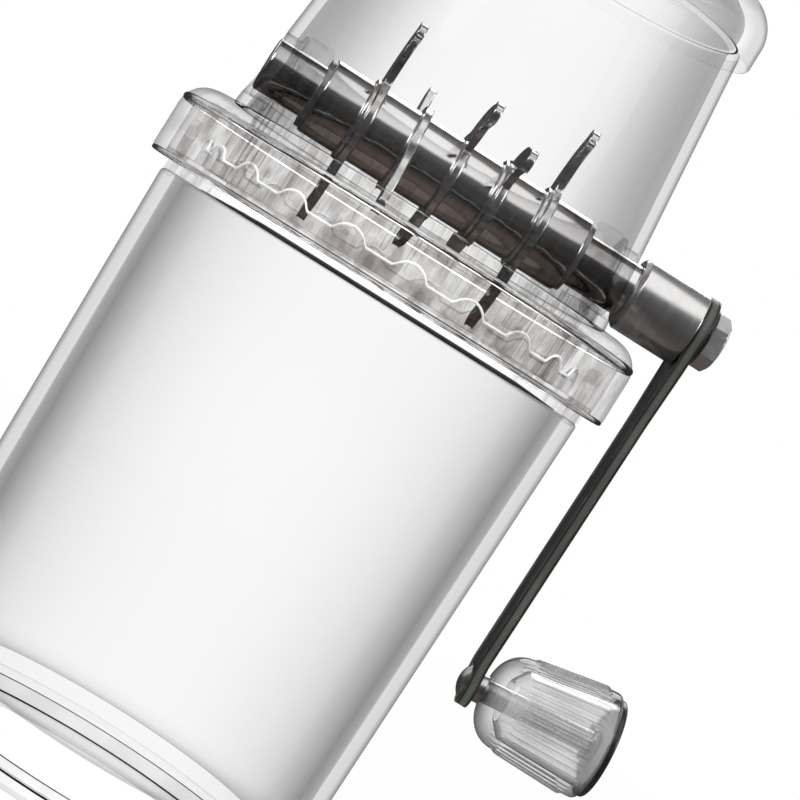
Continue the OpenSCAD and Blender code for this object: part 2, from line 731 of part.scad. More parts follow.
module lid() {
    skirt_in_r = hopper_out_r(hopper_h - lid_skirt) + move_fit;
    out_r = skirt_in_r + lid_skirt_t;
    shoulder_z = hopper_top_z + lid_side;
    in_r = skirt_in_r - lid_step;
    top_r = out_r - lid_shoulder;
    dome_z = shoulder_z + lid_shoulder;
    dome_r = (top_r * top_r + lid_dome * lid_dome) / (2 * lid_dome);
    dome_a = asin(top_r / dome_r);
    dome_c = dome_z + lid_dome - dome_r;
    color([0.93, 0.95, 0.96, 0.35]) rotate_extrude() polygon(concat(
        arc(out_r - lid_lip_round, hopper_top_z - lid_skirt + lid_lip_round, lid_lip_round, -90, 0, 4),
        arc(top_r, shoulder_z, lid_shoulder, 0, 90 - dome_a),
        arc(0, dome_c, dome_r, 90 - dome_a, 90),
        arc(0, dome_c, dome_r - lid_t, 90, 90 - dome_a),
        arc(in_r - lid_shoulder + lid_t, shoulder_z, lid_shoulder - lid_t, 90 - dome_a, 0),
        [[in_r, hopper_top_z], [skirt_in_r, hopper_top_z], [skirt_in_r, hopper_top_z - lid_skirt]]
    ));
}

cup();
foot_ring();
seal_strips();
collar();
collar_plate();
crushing_comb();
hopper();
bearing_left();
bearing_right();
bush_left();
bush_right();
shaft();
blade_1();
blade_2();
blade_3();
blade_4();
blade_5();
sleeve_1();
sleeve_2();
sleeve_3();
sleeve_4();
sleeve_5();
sleeve_6();
blade_washers();
retaining_rings();
hub();
crank_bolt();
bolt_washer();
crank_arm();
knob_spindle();
spindle_spacer();
knob();
knob_cap();
lid();
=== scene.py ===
import math
import bmesh
import bpy
import numpy as np
from mathutils import Matrix, Vector


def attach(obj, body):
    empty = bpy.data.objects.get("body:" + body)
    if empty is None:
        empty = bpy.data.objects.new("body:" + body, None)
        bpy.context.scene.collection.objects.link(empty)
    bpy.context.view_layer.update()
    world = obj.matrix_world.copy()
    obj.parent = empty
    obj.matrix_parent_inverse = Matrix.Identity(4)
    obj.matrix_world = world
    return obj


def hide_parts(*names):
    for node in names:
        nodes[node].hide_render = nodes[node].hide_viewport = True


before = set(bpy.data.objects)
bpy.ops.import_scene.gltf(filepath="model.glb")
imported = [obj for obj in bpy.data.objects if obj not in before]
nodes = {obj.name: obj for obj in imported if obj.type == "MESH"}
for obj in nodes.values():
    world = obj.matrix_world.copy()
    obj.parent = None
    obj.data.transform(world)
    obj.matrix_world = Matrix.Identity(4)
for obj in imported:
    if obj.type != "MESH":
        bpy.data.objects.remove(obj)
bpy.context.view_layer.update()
scene = bpy.context.scene
millimetre = 0.001  # every size below is in millimetres
print("frame loaded:", len(nodes), "solids")

# Heights and radii that several pieces share
cupRim = 141.0
plateFoot = 143.4
plateTop = 146.0
collarTop = 163.5
neckTop = 168.0
shaftHeight = 175.8
hopperRim = 239.0
chamber = 46.6  # bore of the neck
neck = 49.6
armFoot = 71.0
knobDrop = 103.5
knobTilt = math.radians(4.8)
ribCount = 20
ringAngles = 192  # columns round a plain turned piece
creaseAngle = 32  # an edge is drawn sharp where its faces turn by more degrees than this
apart = 0.02  # keeps two faces that touch from lying in each other
sides = [(-1, "Left"), (1, "Right")]


# Shapes

def placed(name, data):
    # A new object with the data, in the scene
    item = bpy.data.objects.new(name, data)
    scene.collection.objects.link(item)
    return item


def putMesh(name, points, faces, parts=None, sharpAngle=creaseAngle):
    # Points * 0.001 in metres with doubles merged; a negative volume means that the faces point inwards
    mesh = bpy.data.meshes.new(name)
    mesh.from_pydata((points * millimetre).reshape(-1, 3).tolist(), [], faces)
    if parts is not None:
        mesh.polygons.foreach_set("material_index", parts)
    work = bmesh.new()
    work.from_mesh(mesh)
    bmesh.ops.remove_doubles(work, verts=work.verts, dist=1e-7)
    if work.calc_volume(signed=True) < 0:
        bmesh.ops.reverse_faces(work, faces=work.faces)
    work.to_mesh(mesh)
    work.free()
    mesh.polygons.foreach_set("use_smooth", np.ones(len(mesh.polygons), bool))
    mesh.set_sharp_from_angle(angle=math.radians(sharpAngle))
    return placed(name, mesh)


def joined(*parts):
    # Coordinates of matching shapes side by side along a last axis
    return np.stack(np.broadcast_arrays(*parts), -1)


def gridFaces(rows, columns, closeRows):
    # Cell (i, j) is the quad of its own corner and the next ones down and right; columns wrap round
    i = np.arange(rows if closeRows else rows - 1)[:, None]
    j = np.arange(columns)[None, :]
    down, right = (i + 1) % rows, (j + 1) % columns
    row, below = i * columns, down * columns
    return joined(row + j, below + j, below + right, row + right).reshape(-1, 4).tolist()


def sweptFaces(rows, columns):
    # Quads between the rows, then the first row reversed and the last row as the two end faces
    last = (rows - 1) * columns
    ends = [list(range(columns))[::-1], list(range(last, last + columns))]
    return gridFaces(rows, columns, False) + ends


def outlineOf(corners, steps=6):
    # Closed outline: each corner (x, y, radius) becomes an arc that touches both sides, r / tan(half) from it
    points = []
    for index, (x, y, radius) in enumerate(corners):
        here = np.array([x, y])
        before = np.array(corners[index - 1][:2]) - here
        after = np.array(corners[(index + 1) % len(corners)][:2]) - here
        if radius <= 0:
            points.append(here[None])
            continue
        before, after = before / np.linalg.norm(before), after / np.linalg.norm(after)
        half = math.acos(np.clip(before @ after, -1, 1)) / 2
        reach = radius / math.tan(half)
        centre = here + (before + after) / np.linalg.norm(before + after) * radius / math.sin(half)
        start, end = here + before * reach - centre, here + after * reach - centre
        turn = math.atan2(start[0] * end[1] - start[1] * end[0], start @ end)
        angle = math.atan2(start[1], start[0]) + turn * np.linspace(0, 1, steps + 1)
        points.append(centre + radius * joined(np.cos(angle), np.sin(angle)))
    return np.concatenate(points)


def stepped(radii, heights, roundings, steps=4):
    # Outline of right angles: out to the next radius, up to the next height and so on, then back to the first
    across = np.roll(np.repeat(radii, 2), -1)
    across[[0, -1]] = radii[0]
    return outlineOf(list(zip(across, np.repeat(heights, 2), roundings)), steps)


def arcOf(x, y, radius, start, end, steps=8):
    # Points x + r cos a, y + r sin a while a runs from start to end degrees
    angle = np.radians(np.linspace(start, end, steps + 1))
    return joined(x + radius * np.cos(angle), y + radius * np.sin(angle))


def offsetFrom(value, spacing):
    # Distance from the nearest multiple of the spacing: (value + s / 2) mod s - s / 2
    return (value + spacing / 2) % spacing - spacing / 2


def roundOver(radius, offset):
    # Height of a circle over its middle line: sqrt(r^2 - offset^2), nought beside it
    return np.sqrt(np.maximum(radius ** 2 - offset ** 2, 0))


def upright(radius, height, angle):
    # Turned about the cup's axis: (r cos a, r sin a, z)
    return joined(radius * np.cos(angle), radius * np.sin(angle), height)


def alongShaft(radius, reach, angle):
    # Turned about the shaft: (x, r cos a, shaft height + r sin a)
    return joined(reach, radius * np.cos(angle), shaftHeight + radius * np.sin(angle))


def alongKnob(radius, reach, angle):
    # Turned about the tilted knob axis: foot + reach * outward + r (cos a * sideways + sin a * upward)
    cosine, sine, rise = math.cos(knobTilt), math.sin(knobTilt), radius * np.sin(angle)
    return joined(armFoot + reach * cosine - rise * sine, radius * np.cos(angle),
                  shaftHeight - knobDrop + reach * sine + rise * cosine)


def turned(name, outline, place, columns=ringAngles, reshape=None, partAt=None, sharpAngle=creaseAngle):
    # Surface of revolution: every outline point (radius, height) runs once round; reshape changes both by the
    # angle, and partAt says which finish the band at a radius and height has
    outline = np.asarray(outline, float)
    onAxis = outline[0, 0] < 1e-6 and outline[-1, 0] < 1e-6
    angle = np.linspace(0, 2 * math.pi, columns, endpoint=False)[None, :]
    radius, height = outline[:, :1] + 0 * angle, outline[:, 1:] + 0 * angle
    if reshape is not None:
        radius, height = reshape(radius, height, angle)
    points = place(radius, height, angle)
    faces = gridFaces(len(outline), columns, not onAxis)
    parts = None
    if partAt is not None:
        middle = (outline + np.roll(outline, -1, 0)) / 2
        parts = np.repeat([int(partAt(r, z)) for r, z in middle[:len(faces) // columns]], columns)
    return putMesh(name, points, faces, parts, sharpAngle)


def arcPiece(name, outline, middle, half, steps=48, fade=0.0):
    # The outline swept round the cup's axis from middle - half to middle + half degrees, with closed ends;
    # fade thins it over the last third at both ends: height * (1 - fade * share of that third)
    along = np.linspace(-1, 1, steps)[:, None]
    angle = np.radians(middle + half * along)
    foot = outline[:, 1].min()
    height = foot + (outline[:, 1] - foot) * (1 - fade * np.clip(np.abs(along) * 3 - 2, 0, 1))
    points = upright(outline[:, 0], height, angle)
    return putMesh(name, points, sweptFaces(steps, len(outline)))


def plate(name, outline, place, thickness):
    # A flat outline at both faces of a sheet, joined round its edge; place turns (u, v, w) into x, y, z
    points = np.concatenate([place(outline, 0.0), place(outline, thickness)])
    return putMesh(name, points, sweptFaces(2, len(outline)))


def carved(piece, cutter):
    # The piece minus the cutter, kept as a plain mesh; the cutter is removed
    cut = piece.modifiers.new("cut", "BOOLEAN")
    cut.object, cut.operation, cut.solver = cutter, "DIFFERENCE", "EXACT"
    shown = piece.evaluated_get(bpy.context.evaluated_depsgraph_get())
    piece.data = bpy.data.meshes.new_from_object(shown)
    piece.modifiers.clear()
    piece.data.set_sharp_from_angle(angle=math.radians(creaseAngle))
    bpy.data.objects.remove(cutter)


def softened(piece, width, segments, angle):
    # Round edge of the given width along every crease sharper than the angle
    bevel = piece.modifiers.new("edge", "BEVEL")
    bevel.width, bevel.segments, bevel.limit_method = width * millimetre, segments, "ANGLE"
    bevel.angle_limit = math.radians(angle)
    bevel.harden_normals = True
    return piece


def settle(piece, body, slot, materials, *replaced):
    # Gives a piece its finishes, its body and the solids that it stands for; faces keep their finish numbers
    parts = np.zeros(len(piece.data.polygons), np.int32)
    piece.data.polygons.foreach_get("material_index", parts)
    piece.data.materials.clear()
    for material in materials if isinstance(materials, list) else [materials]:
        piece.data.materials.append(material)
    piece.data.polygons.foreach_set("material_index", parts)
    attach(piece, body)
    if replaced:
        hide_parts(*replaced)
    return piece


# Finishes

white = (1.0, 1.0, 1.0, 1.0)
even = (1.0, 1.0, 1.0)


def emptyTree(owner):
    # The node tree of a material or a world, with nothing in it
    owner.use_nodes = True
    owner.node_tree.nodes.clear()
    return owner.node_tree


def addNode(tree, kind, inputs, **settings):
    # A node with its settings: an input is linked to a socket or a node's first output, or set to a value
    node = tree.nodes.new("ShaderNode" + kind)
    for key, value in settings.items():
        setattr(node, key, value)
    for key, value in inputs.items():
        value = value.outputs[0] if isinstance(value, bpy.types.Node) else value
        if isinstance(value, bpy.types.NodeSocket):
            tree.links.new(value, node.inputs[key])
        else:
            node.inputs[key].default_value = value
    return node


def finished(material, shader):
    # The material with the shader on its surface
    addNode(material.node_tree, "OutputMaterial", {"Surface": shader})
    return material


def noiseOf(tree, scale, stretch=even, detail=3.0, roughness=0.5):
    # Noise at place * stretch * scale on object coordinates, stretched where the finish has a grain
    place = addNode(tree, "TexCoord", {})
    mapping = addNode(tree, "Mapping", {"Vector": place.outputs["Object"], "Scale": stretch})
    return addNode(tree, "TexNoise",
                   {"Vector": mapping, "Scale": scale, "Detail": detail, "Roughness": roughness})


def greyOf(level):
    # The colour (level, level, level), opaque
    return (level, level, level, 1.0)


def rampOf(tree, value, stops):
    # Straight blend between the stops (position, colour); a colour of one number is a grey
    ramp = addNode(tree, "ValToRGB", {"Fac": value})
    while len(ramp.color_ramp.elements) < len(stops):
        ramp.color_ramp.elements.new(0.5)
    for element, (position, colour) in zip(ramp.color_ramp.elements, stops):
        element.position = position
        element.color = (*colour, 1.0) if isinstance(colour, tuple) else greyOf(colour)
    return ramp


def spanOf(tree, value, start, end, low=0.0, high=1.0, blend="LINEAR"):
    # low + (high - low) * share of the way from start to end, held at both ends
    return addNode(tree, "MapRange", {"Value": value, "From Min": start, "From Max": end, "To Min": low,
                                      "To Max": high}, interpolation_type=blend)


def bumpOf(tree, height, strength, distance):
    # Normal of a surface raised by height * distance metres, mixed in by the strength
    return addNode(tree, "Bump", {"Height": height, "Strength": strength, "Distance": distance})


def mixOf(tree, kind, share, first, second, **settings):
    # first * (1 - share) + second * share, of two colours or two shaders
    return addNode(tree, kind, {0: share, 1: first, 2: second}, **settings)


def clearPlastic(name, base, edgeShade, **changes):
    # White where it faces the eye and painted greyer towards its edges as shade, and greyer in soft patches
    # that
    # differ at random: colour = edge shade * patches; lamps shine through in the shadow's tint
    look = {**base, **changes}
    material = bpy.data.materials.new(name)
    tree = emptyTree(material)
    facing = addNode(tree, "LayerWeight", {"Blend": 0.5})
    ripple = noiseOf(tree, look["ripples"], look["stretch"], 2.0)
    normal = bumpOf(tree, ripple, look["strength"], 0.001)
    wear = noiseOf(tree, look["wear"], detail=5.0)
    cloud = noiseOf(tree, look["clouds"], look["stretch"], 1.0)
    shaded, patched = rampOf(tree, facing.outputs["Facing"], edgeShade), rampOf(tree, cloud, look["patches"])
    colour = mixOf(tree, "MixRGB", 1.0, shaded, patched, blend_type="MULTIPLY")
    shader = addNode(tree, "BsdfPrincipled", {
        "Base Color": colour, "Roughness": spanOf(tree, wear, 0.35, 0.75, *look["roughness"]),
        "IOR": look["ior"], "Transmission Weight": look["clear"], "Coat Weight": look["coat"],
        "Coat Roughness": 0.04, "Normal": normal, "Coat Normal": normal})
    path = addNode(tree, "LightPath", {})
    through = addNode(tree, "BsdfTransparent", {"Color": (*look["shadow"], 1.0)})
    both = mixOf(tree, "MixShader", path.outputs["Is Shadow Ray"], shader, through)
    return finished(material, both)


def solid(name, isMetal, colours, drift, marks, roughness, strength=0.1, grain=even, streak=even, coat=0.0):
    # Metal, paint, rubber or plastic: its colour drifts over the surface, fine marks from turning, rolling or
    # moulding raise it, and its gloss follows the marks on metal and the drift on the rest
    material = bpy.data.materials.new(name)
    tree = emptyTree(material)
    detail, variety = (3.0, 0.6) if isMetal else (2.0, 0.5)
    drifting = noiseOf(tree, drift, streak, 4.0, variety)
    marked = noiseOf(tree, marks, grain, detail, variety)
    return finished(material, addNode(tree, "BsdfPrincipled", {
        "Base Color": rampOf(tree, drifting, colours), "Metallic": float(isMetal),
        "Roughness": spanOf(tree, marked if isMetal else drifting, 0.3, 0.7, *roughness), "IOR": 1.5,
        "Coat Weight": coat, "Coat Roughness": 0.12, "Normal": bumpOf(tree, marked, strength, 0.0002)}))


wallBase = {
    "ripples": 30.0, "stretch": even, "strength": 0.04, "wear": 120.0,
    "roughness": (0.0, 0.03), "ior": 1.0, "clouds": 20.0, "patches": [(0.3, 0.985), (0.7, 1.0)],
    "clear": 1.0, "coat": 0.0, "shadow": (0.95, 0.95, 0.96),
}
mouldedBase = {
    **wallBase, "ripples": 60.0, "strength": 0.1, "wear": 200.0, "clouds": 90.0,
    "patches": [(0.36, 0.9), (0.66, 1.0)], "shadow": (0.9, 0.91, 0.92),
}
# The list after each base is its painted edge shade: the grey by how far the surface turns from the eye
wallOuter = clearPlastic("wallOuter", wallBase, [
    (0.0, 0.99), (0.55, 0.96), (0.66, 0.76), (0.78, (0.74, 0.74, 0.75)), (0.86, (0.45, 0.46, 0.47)),
    (1.0, (0.2, 0.21, 0.22))],
    ripples=25.0, wear=160.0, roughness=(0.0, 0.02), coat=0.12, shadow=(0.9, 0.91, 0.92))
cupInner = clearPlastic("cupInner", wallBase, [
    (0.0, 0.97), (0.1, 0.93), (0.24, 0.84), (0.36, 0.73), (0.45, 0.58), (0.58, 0.41), (0.68, 0.3),
    (0.86, 0.5), (1.0, 0.9)])
hopperInner = clearPlastic("hopperInner", wallBase, [
    (0.0, 0.97), (0.1, 0.94), (0.2, 0.82), (0.3, 0.67), (0.4, 0.56), (0.5, 0.48), (0.68, 0.42), (1.0, 0.6)])
cupFloor = clearPlastic("cupFloor", wallBase, [(0.0, 0.99), (0.9, 0.975), (1.0, 0.95)], strength=0.03)
collarOuter = clearPlastic("collarOuter", wallBase, [
    (0.0, 0.97), (0.5, 0.92), (0.8, 0.8), (1.0, (0.5, 0.51, 0.51))],
    ripples=150.0, strength=0.5, wear=160.0, roughness=(0.0, 0.04), clouds=110.0,
    patches=[(0.38, 0.8), (0.46, 0.95), (0.6, 1.0)], coat=0.35, shadow=(0.88, 0.89, 0.9))
clearRibbed = clearPlastic("clearRibbed", mouldedBase, [
    (0.0, 0.985), (0.5, 0.94), (0.8, (0.82, 0.81, 0.81)), (1.0, (0.66, 0.65, 0.65))],
    ripples=70.0, stretch=(1.0, 1.0, 0.6), strength=0.25, roughness=(0.01, 0.06),
    clouds=150.0, patches=[(0.4, (0.76, 0.745, 0.74)), (0.44, (0.97, 0.965, 0.96)), (0.6, 1.0)])
clearBars = clearPlastic("clearBars", mouldedBase, [(0.0, 0.99), (0.6, 0.97), (1.0, 0.86)],
    ripples=70.0, stretch=(1.0, 1.0, 0.4), strength=0.2, roughness=(0.01, 0.05),
    clouds=230.0, patches=[(0.38, (0.88, 0.86, 0.85)), (0.48, (0.98, 0.98, 0.97)), (0.6, 1.0)],
    shadow=(0.93, 0.94, 0.95))
edgeBead = clearPlastic("edgeBead", mouldedBase, [(0.0, 0.97), (0.6, 0.85), (1.0, 0.4)],
    roughness=(0.02, 0.08), ior=1.4, clouds=60.0, coat=0.5)
# A mostly opaque white plastic for the bead on the scallops' crest: a painted highlight for the bright wavy
# line along it
crestHighlight = clearPlastic("crestHighlight", mouldedBase, [(0.0, 0.95), (1.0, 0.86)],
    roughness=(0.15, 0.3), ior=1.1, patches=[(0.36, 0.9), (0.6, 1.0)], clear=0.2, coat=0.3)
clearKnob = clearPlastic("clearKnob", mouldedBase, [
    (0.0, (0.92, 0.92, 0.91)), (0.3, (0.66, 0.66, 0.65)), (0.6, 0.3), (0.85, 0.14), (1.0, 0.07)],
    strength=0.06, roughness=(0.04, 0.1), ior=1.02, patches=[(0.36, 0.8), (0.66, 1.0)],
    clear=0.86, coat=0.7, shadow=(0.8, 0.81, 0.82))
knobInside = clearPlastic("knobInside", mouldedBase, [(0.0, 0.95), (0.6, 0.86), (1.0, 0.6)],
    roughness=(0.2, 0.28), ior=1.12, clouds=120.0, patches=[(0.36, 0.88), (0.66, 1.0)],
    clear=0.9, shadow=(0.85, 0.86, 0.87))
softClear = clearPlastic("softClear", mouldedBase, [
    (0.0, 0.94), (0.6, (0.85, 0.85, 0.86)), (1.0, (0.5, 0.5, 0.51))],
    ripples=90.0, strength=0.15, wear=260.0, roughness=(0.05, 0.12),
    shadow=(0.8, 0.81, 0.82))
chrome = solid("polishedSteel", True, [
    (0.3, (0.78, 0.73, 0.7)), (0.5, (0.88, 0.87, 0.87)), (0.72, (0.94, 0.94, 0.95))],
    60.0, 900.0, (0.07, 0.13), 0.05, (1.0, 0.06, 0.06), (0.35, 1.0, 1.0))
bladeSteel = solid("bladeSteel", True, [(0.3, (0.6, 0.57, 0.55)), (0.55, 0.74), (0.75, (0.82, 0.82, 0.83))],
                   90.0, 700.0, (0.14, 0.24), 0.12, (0.3, 1.0, 1.0))
hubSteel = solid("hubSteel", True, [(0.3, (0.78, 0.74, 0.72)), (0.55, (0.86, 0.85, 0.84)), (0.75, 0.9)],
                 70.0, 1500.0, (0.2, 0.27), 0.04, (1.0, 0.05, 0.05))
springSteel = solid("springSteel", True, [(0.3, (0.32, 0.32, 0.33)), (0.7, (0.46, 0.46, 0.48))],
                    120.0, 800.0, (0.25, 0.4), 0.2)
boltChrome = solid("boltPlating", True, [(0.3, (0.84, 0.84, 0.85)), (0.7, (0.94, 0.94, 0.95))],
                   140.0, 600.0, (0.3, 0.42))
spindleSteel = solid("spindleSteel", True, [(0.3, (0.5, 0.49, 0.48)), (0.7, (0.7, 0.69, 0.68))],
                     120.0, 1200.0, (0.18, 0.3), 0.15, (1.0, 0.08, 0.08))
# The arm's black paint, and a lighter copy for its narrow sides: painted light, as if those sides caught the
# lamps
armPaint = solid("armPaint", False, [
    (0.3, (0.008, 0.010, 0.010)), (0.6, (0.013, 0.015, 0.015)), (0.8, (0.02, 0.021, 0.02))],
    80.0, 1800.0, (0.34, 0.46), coat=0.1)
armLitEdge = solid("armLitEdge", False, [
    (0.3, (0.085, 0.09, 0.076)), (0.6, (0.12, 0.127, 0.108)), (0.8, (0.15, 0.157, 0.135))],
    60.0, 1800.0, (0.4, 0.52))
# A lighter grey copy of the black cap for its inner face: painted light, so that it looks lit through the
# knob's clear rim
capLitFace = solid("capLitFace", False, [(0.3, 0.3), (0.7, 0.42)], 120.0, 1500.0, (0.3, 0.4))
blackPlastic = solid("blackPlastic", False, [(0.3, 0.01), (0.7, 0.022)], 150.0, 1500.0, (0.2, 0.34), coat=0.2)
# Black rubber of the seal strips, which also stand in for the shadow line under the collar
sealRubberAndShade = solid("sealRubberAndShade", False, [(0.3, (0.008, 0.012, 0.010)), (0.7, (0.02, 0.026, 0.024))],
                   120.0, 1200.0, (0.45, 0.65), 0.3)
print("finishes made")


# Cup and foot ring

cup = dict(
    rimRadius=59.9, footRadius=57.1, footTop=6.4, wall=3.8, floor=14.5, floorThickness=4.5,
    cornerRadius=8.0, rimRound=1.2, seat=3.0, seatRadius=54.7, markOuter=10.0,
    markInner=7.0, markHeight=0.7)


def cupRadius(height):
    # Straight taper: foot + (rim - foot) * share of the height between them
    return cup["footRadius"] + (cup["rimRadius"] - cup["footRadius"]) * (
        height - cup["footTop"]) / (cupRim - cup["footTop"])


def makeCup():
    # The outline starts on the axis under the floor, runs round the foot and both walls, and ends on it above
    wall, floor, foot, seat = cup["wall"], cup["floor"], cup["footTop"], cup["seatRadius"]
    inside, under, markTop = cupRadius(floor) - wall, floor - cup["floorThickness"], floor + cup["markHeight"]
    body = outlineOf([
        (0.0, under, 0.0), (seat - wall, under, 2.0), (seat - wall, cup["seat"], 0.6),
        (seat, cup["seat"], 0.6), (seat, foot, 0.0), (cup["footRadius"], foot, 0.4),
        (cup["rimRadius"], cupRim, cup["rimRound"]),
        (cup["rimRadius"] - wall, cupRim, cup["rimRound"]), (inside, floor, cup["cornerRadius"]),
        (cup["markOuter"], floor, 0.3), (cup["markOuter"], markTop, 0.3), (cup["markInner"], markTop, 0.3),
        (cup["markInner"], floor, 0.3), (0.0, floor, 0.0)], 8)

    def partAt(radius, height):
        # 0 outside wall, 1 inside wall and its fillet, 2 the foot and the flat floor on both sides
        onFloor = radius < inside - cup["cornerRadius"] + 1.5 and under - 0.5 < height < floor + 1.5
        if onFloor or height < foot + 0.2:
            return 2
        return height > floor - 0.1 and radius < cupRadius(height) - wall * 0.6
    return turned("cupShell", body, upright, 256, partAt=partAt)


lug = dict(radius=58.0, width=9.5, thickness=2.8, height=14.0, sunk=1.2, windowWidth=5.0,
           windowHeight=5.5, edge=0.5, corner=0.22)


def makeLug(side, name):
    # Tab with a window: rows window + (tab - window) * blend over one face, round the edge and back
    turn = np.linspace(0, 2 * math.pi, 96, endpoint=False)
    circle = joined(np.cos(turn), np.sin(turn))
    frameShape = np.sign(circle) * np.abs(circle) ** lug["corner"] / 2  # a superellipse
    tab = frameShape * [lug["width"], lug["height"] + lug["sunk"]]
    window = frameShape * [lug["windowWidth"], lug["windowHeight"]]
    middle = cupRim + (lug["height"] - lug["sunk"]) / 2
    face = lug["thickness"] / 2
    front = [(0.0, face - lug["edge"]), (0.12, face), (0.88, face), (1.0, face - lug["edge"])]
    rows = []
    for blend, across in front + [(blend, -across) for blend, across in front[::-1]]:
        edge = window + (tab - window) * blend
        rows.append(joined(side * (lug["radius"] + across), edge[:, 0], middle + edge[:, 1]))
    return putMesh("cupLug" + name, np.concatenate(rows), gridFaces(len(rows), len(turn), True))


settle(makeCup(), "cup", "clear_cup", [wallOuter, cupInner, cupFloor], "cup")
for side, sideName in sides:
    settle(makeLug(side, sideName), "cup", "clear_cup", clearRibbed)

footRing = dict(height=6.4, inner=54.9, ledge=3.0, ledgeInner=48.9, outer=57.1, bevel=0.8)
settle(turned("footRing", stepped(
    (footRing["ledgeInner"], footRing["outer"], footRing["inner"]),
    (0.0, footRing["height"], footRing["ledge"]), (0.5, footRing["bevel"], 0.4, 0.3, 0.3, 0.5)), upright),
    "cup", "foot_ring", softClear, "foot_ring")
print("cup made")


# Collar, plate and comb

collar = dict(
    outer=64.8, inner=61.3, topThickness=3.3, topRound=7.0, lipRound=1.7, neckFoot=146.0,
    fluteCount=72, fluteDepth=0.8, saddle=10.8, ribThickness=1.2, ribStart=55.0,
    ribDrop=9.0, ribSunk=0.4)
collarTopInner = collarTop - collar["topThickness"]


def fluted(radius, height, angle):
    # Flutes add sqrt(depth^2 - offset^2) to the neck's bore; where the neck passes under the bushes its top
    # edge dips to shaft - sqrt(saddle^2 - y^2), but not below the collar's top
    offset = offsetFrom(angle * chamber, 2 * math.pi * chamber / collar["fluteCount"])
    onBore = np.abs(radius - chamber) < 0.05
    onTop = (height > collarTop + 0.5) & (radius < neck + 0.05)
    dip = shaftHeight - roundOver(collar["saddle"], radius * np.sin(angle))
    lowered = np.maximum(np.minimum(height, dip + (height - neckTop)), collarTop + 0.2)
    return np.where(onBore, radius + roundOver(collar["fluteDepth"], offset), radius), np.where(
        onTop, lowered, height)


def isUnderCollar(radius, height):
    # The faces inside the overhang have the ribbed finish
    return radius < collar["inner"] + 0.4 and height < collarTopInner + 0.4


collarOutline = stepped(
    (chamber, neck, collar["inner"], collar["outer"], neck),
    (collar["neckFoot"], collarTopInner, plateFoot, collarTop, neckTop),
    (0, 0.3, 0.8, 2.5, 0, collar["lipRound"], collar["topRound"], 0.5, 0.4, 0), 10)
settle(turned("collarShell", collarOutline, upright, collar["fluteCount"] * 10, fluted, isUnderCollar),
       "head", "clear_head", [collarOuter, clearRibbed], "collar")


def makeRibs():
    # Rounded upright bars under the collar's top; copy k is turned by (k + 0.5) / count of a full turn
    half, start, end = collar["ribThickness"] / 2, collar["ribStart"], collar["inner"]
    low, high = collarTopInner - collar["ribDrop"], collarTopInner + collar["ribSunk"]
    section = stepped((-half, half), (low, high), (0.4, 0.4, 0, 0), 3)
    reach = np.array([start, start + 0.3, end - 0.3, end + 0.6])
    along, across = np.broadcast_arrays(reach[:, None], section[:, 0])
    angle = ((np.arange(ribCount) + 0.5) * 2 * math.pi / ribCount)[:, None, None]
    cosine, sine = np.cos(angle), np.sin(angle)
    points = joined(along * cosine - across * sine, along * sine + across * cosine, section[:, 1])
    faces = [[corner + copy * along.size for corner in face]
             for copy in range(ribCount) for face in sweptFaces(len(reach), len(section))]
    return putMesh("collarRibs", points, faces)


settle(makeRibs(), "head", "clear_head", clearRibbed)

disc = dict(hole=44.4, outer=61.1, ringInner=52.0, ringOuter=54.0, ringHeight=3.6,
            scallopRadius=5.0, scallopDip=1.4, slotGap=1.2)
ringTop = plateTop + disc["ringHeight"]


def scalloped(radius, height, angle):
    # The ring's top follows round scallops, dip + sqrt(radius^2 - offset^2), never below its plain height
    middle = (disc["ringInner"] + disc["ringOuter"]) / 2
    offset = offsetFrom(angle * middle, 2 * math.pi * middle / ribCount)
    crest = disc["scallopDip"] + roundOver(disc["scallopRadius"], offset)
    raised = np.maximum(crest - disc["ringHeight"], 0)
    return radius, np.where(height > ringTop - 1.2, height + raised, height)


plateDisc = turned("collarPlate", stepped(
    (disc["hole"], disc["outer"], disc["ringOuter"], disc["ringInner"]),
    (plateFoot, plateTop, ringTop, plateTop), (0.3, 0.3, 0.3, 0.6, 0.7, 0.7, 0.6, 0.3), 5),
    upright, ribCount * 24, scalloped)
slotSize = np.array([lug["thickness"] + disc["slotGap"], lug["width"] + disc["slotGap"], 12.0])
boxCorners = np.array([[x, y, z] for x in (-0.5, 0.5) for y in (-0.5, 0.5) for z in (-0.5, 0.5)])
boxFaces = [[0, 1, 3, 2], [4, 6, 7, 5], [0, 4, 5, 1], [2, 3, 7, 6], [0, 2, 6, 4], [1, 5, 7, 3]]
for side, sideName in sides:
    slotCentre = np.array([side * lug["radius"], 0.0, plateFoot])
    carved(plateDisc, putMesh("slotBox", slotCentre + boxCorners * slotSize, boxFaces))
settle(plateDisc, "head", "clear_head", clearRibbed, "collar_plate")

# The plate rests on the cup's rim with four short lands, given by the middle of each in degrees
lands = {"Right": 22.0, "RightBack": -22.0, "Left": 158.0, "LeftBack": 202.0}
landHalf, landSunk = 14.0, 0.3
landOutline = stepped((cup["rimRadius"] - cup["wall"], cup["rimRadius"]),
                      (cupRim + apart, plateFoot + landSunk), (0.3, 0.3, 0, 0), 3)
for landName, landMiddle in lands.items():
    land = arcPiece("plateLand" + landName, landOutline, landMiddle, landHalf)
    settle(land, "head", "clear_head", clearRibbed)

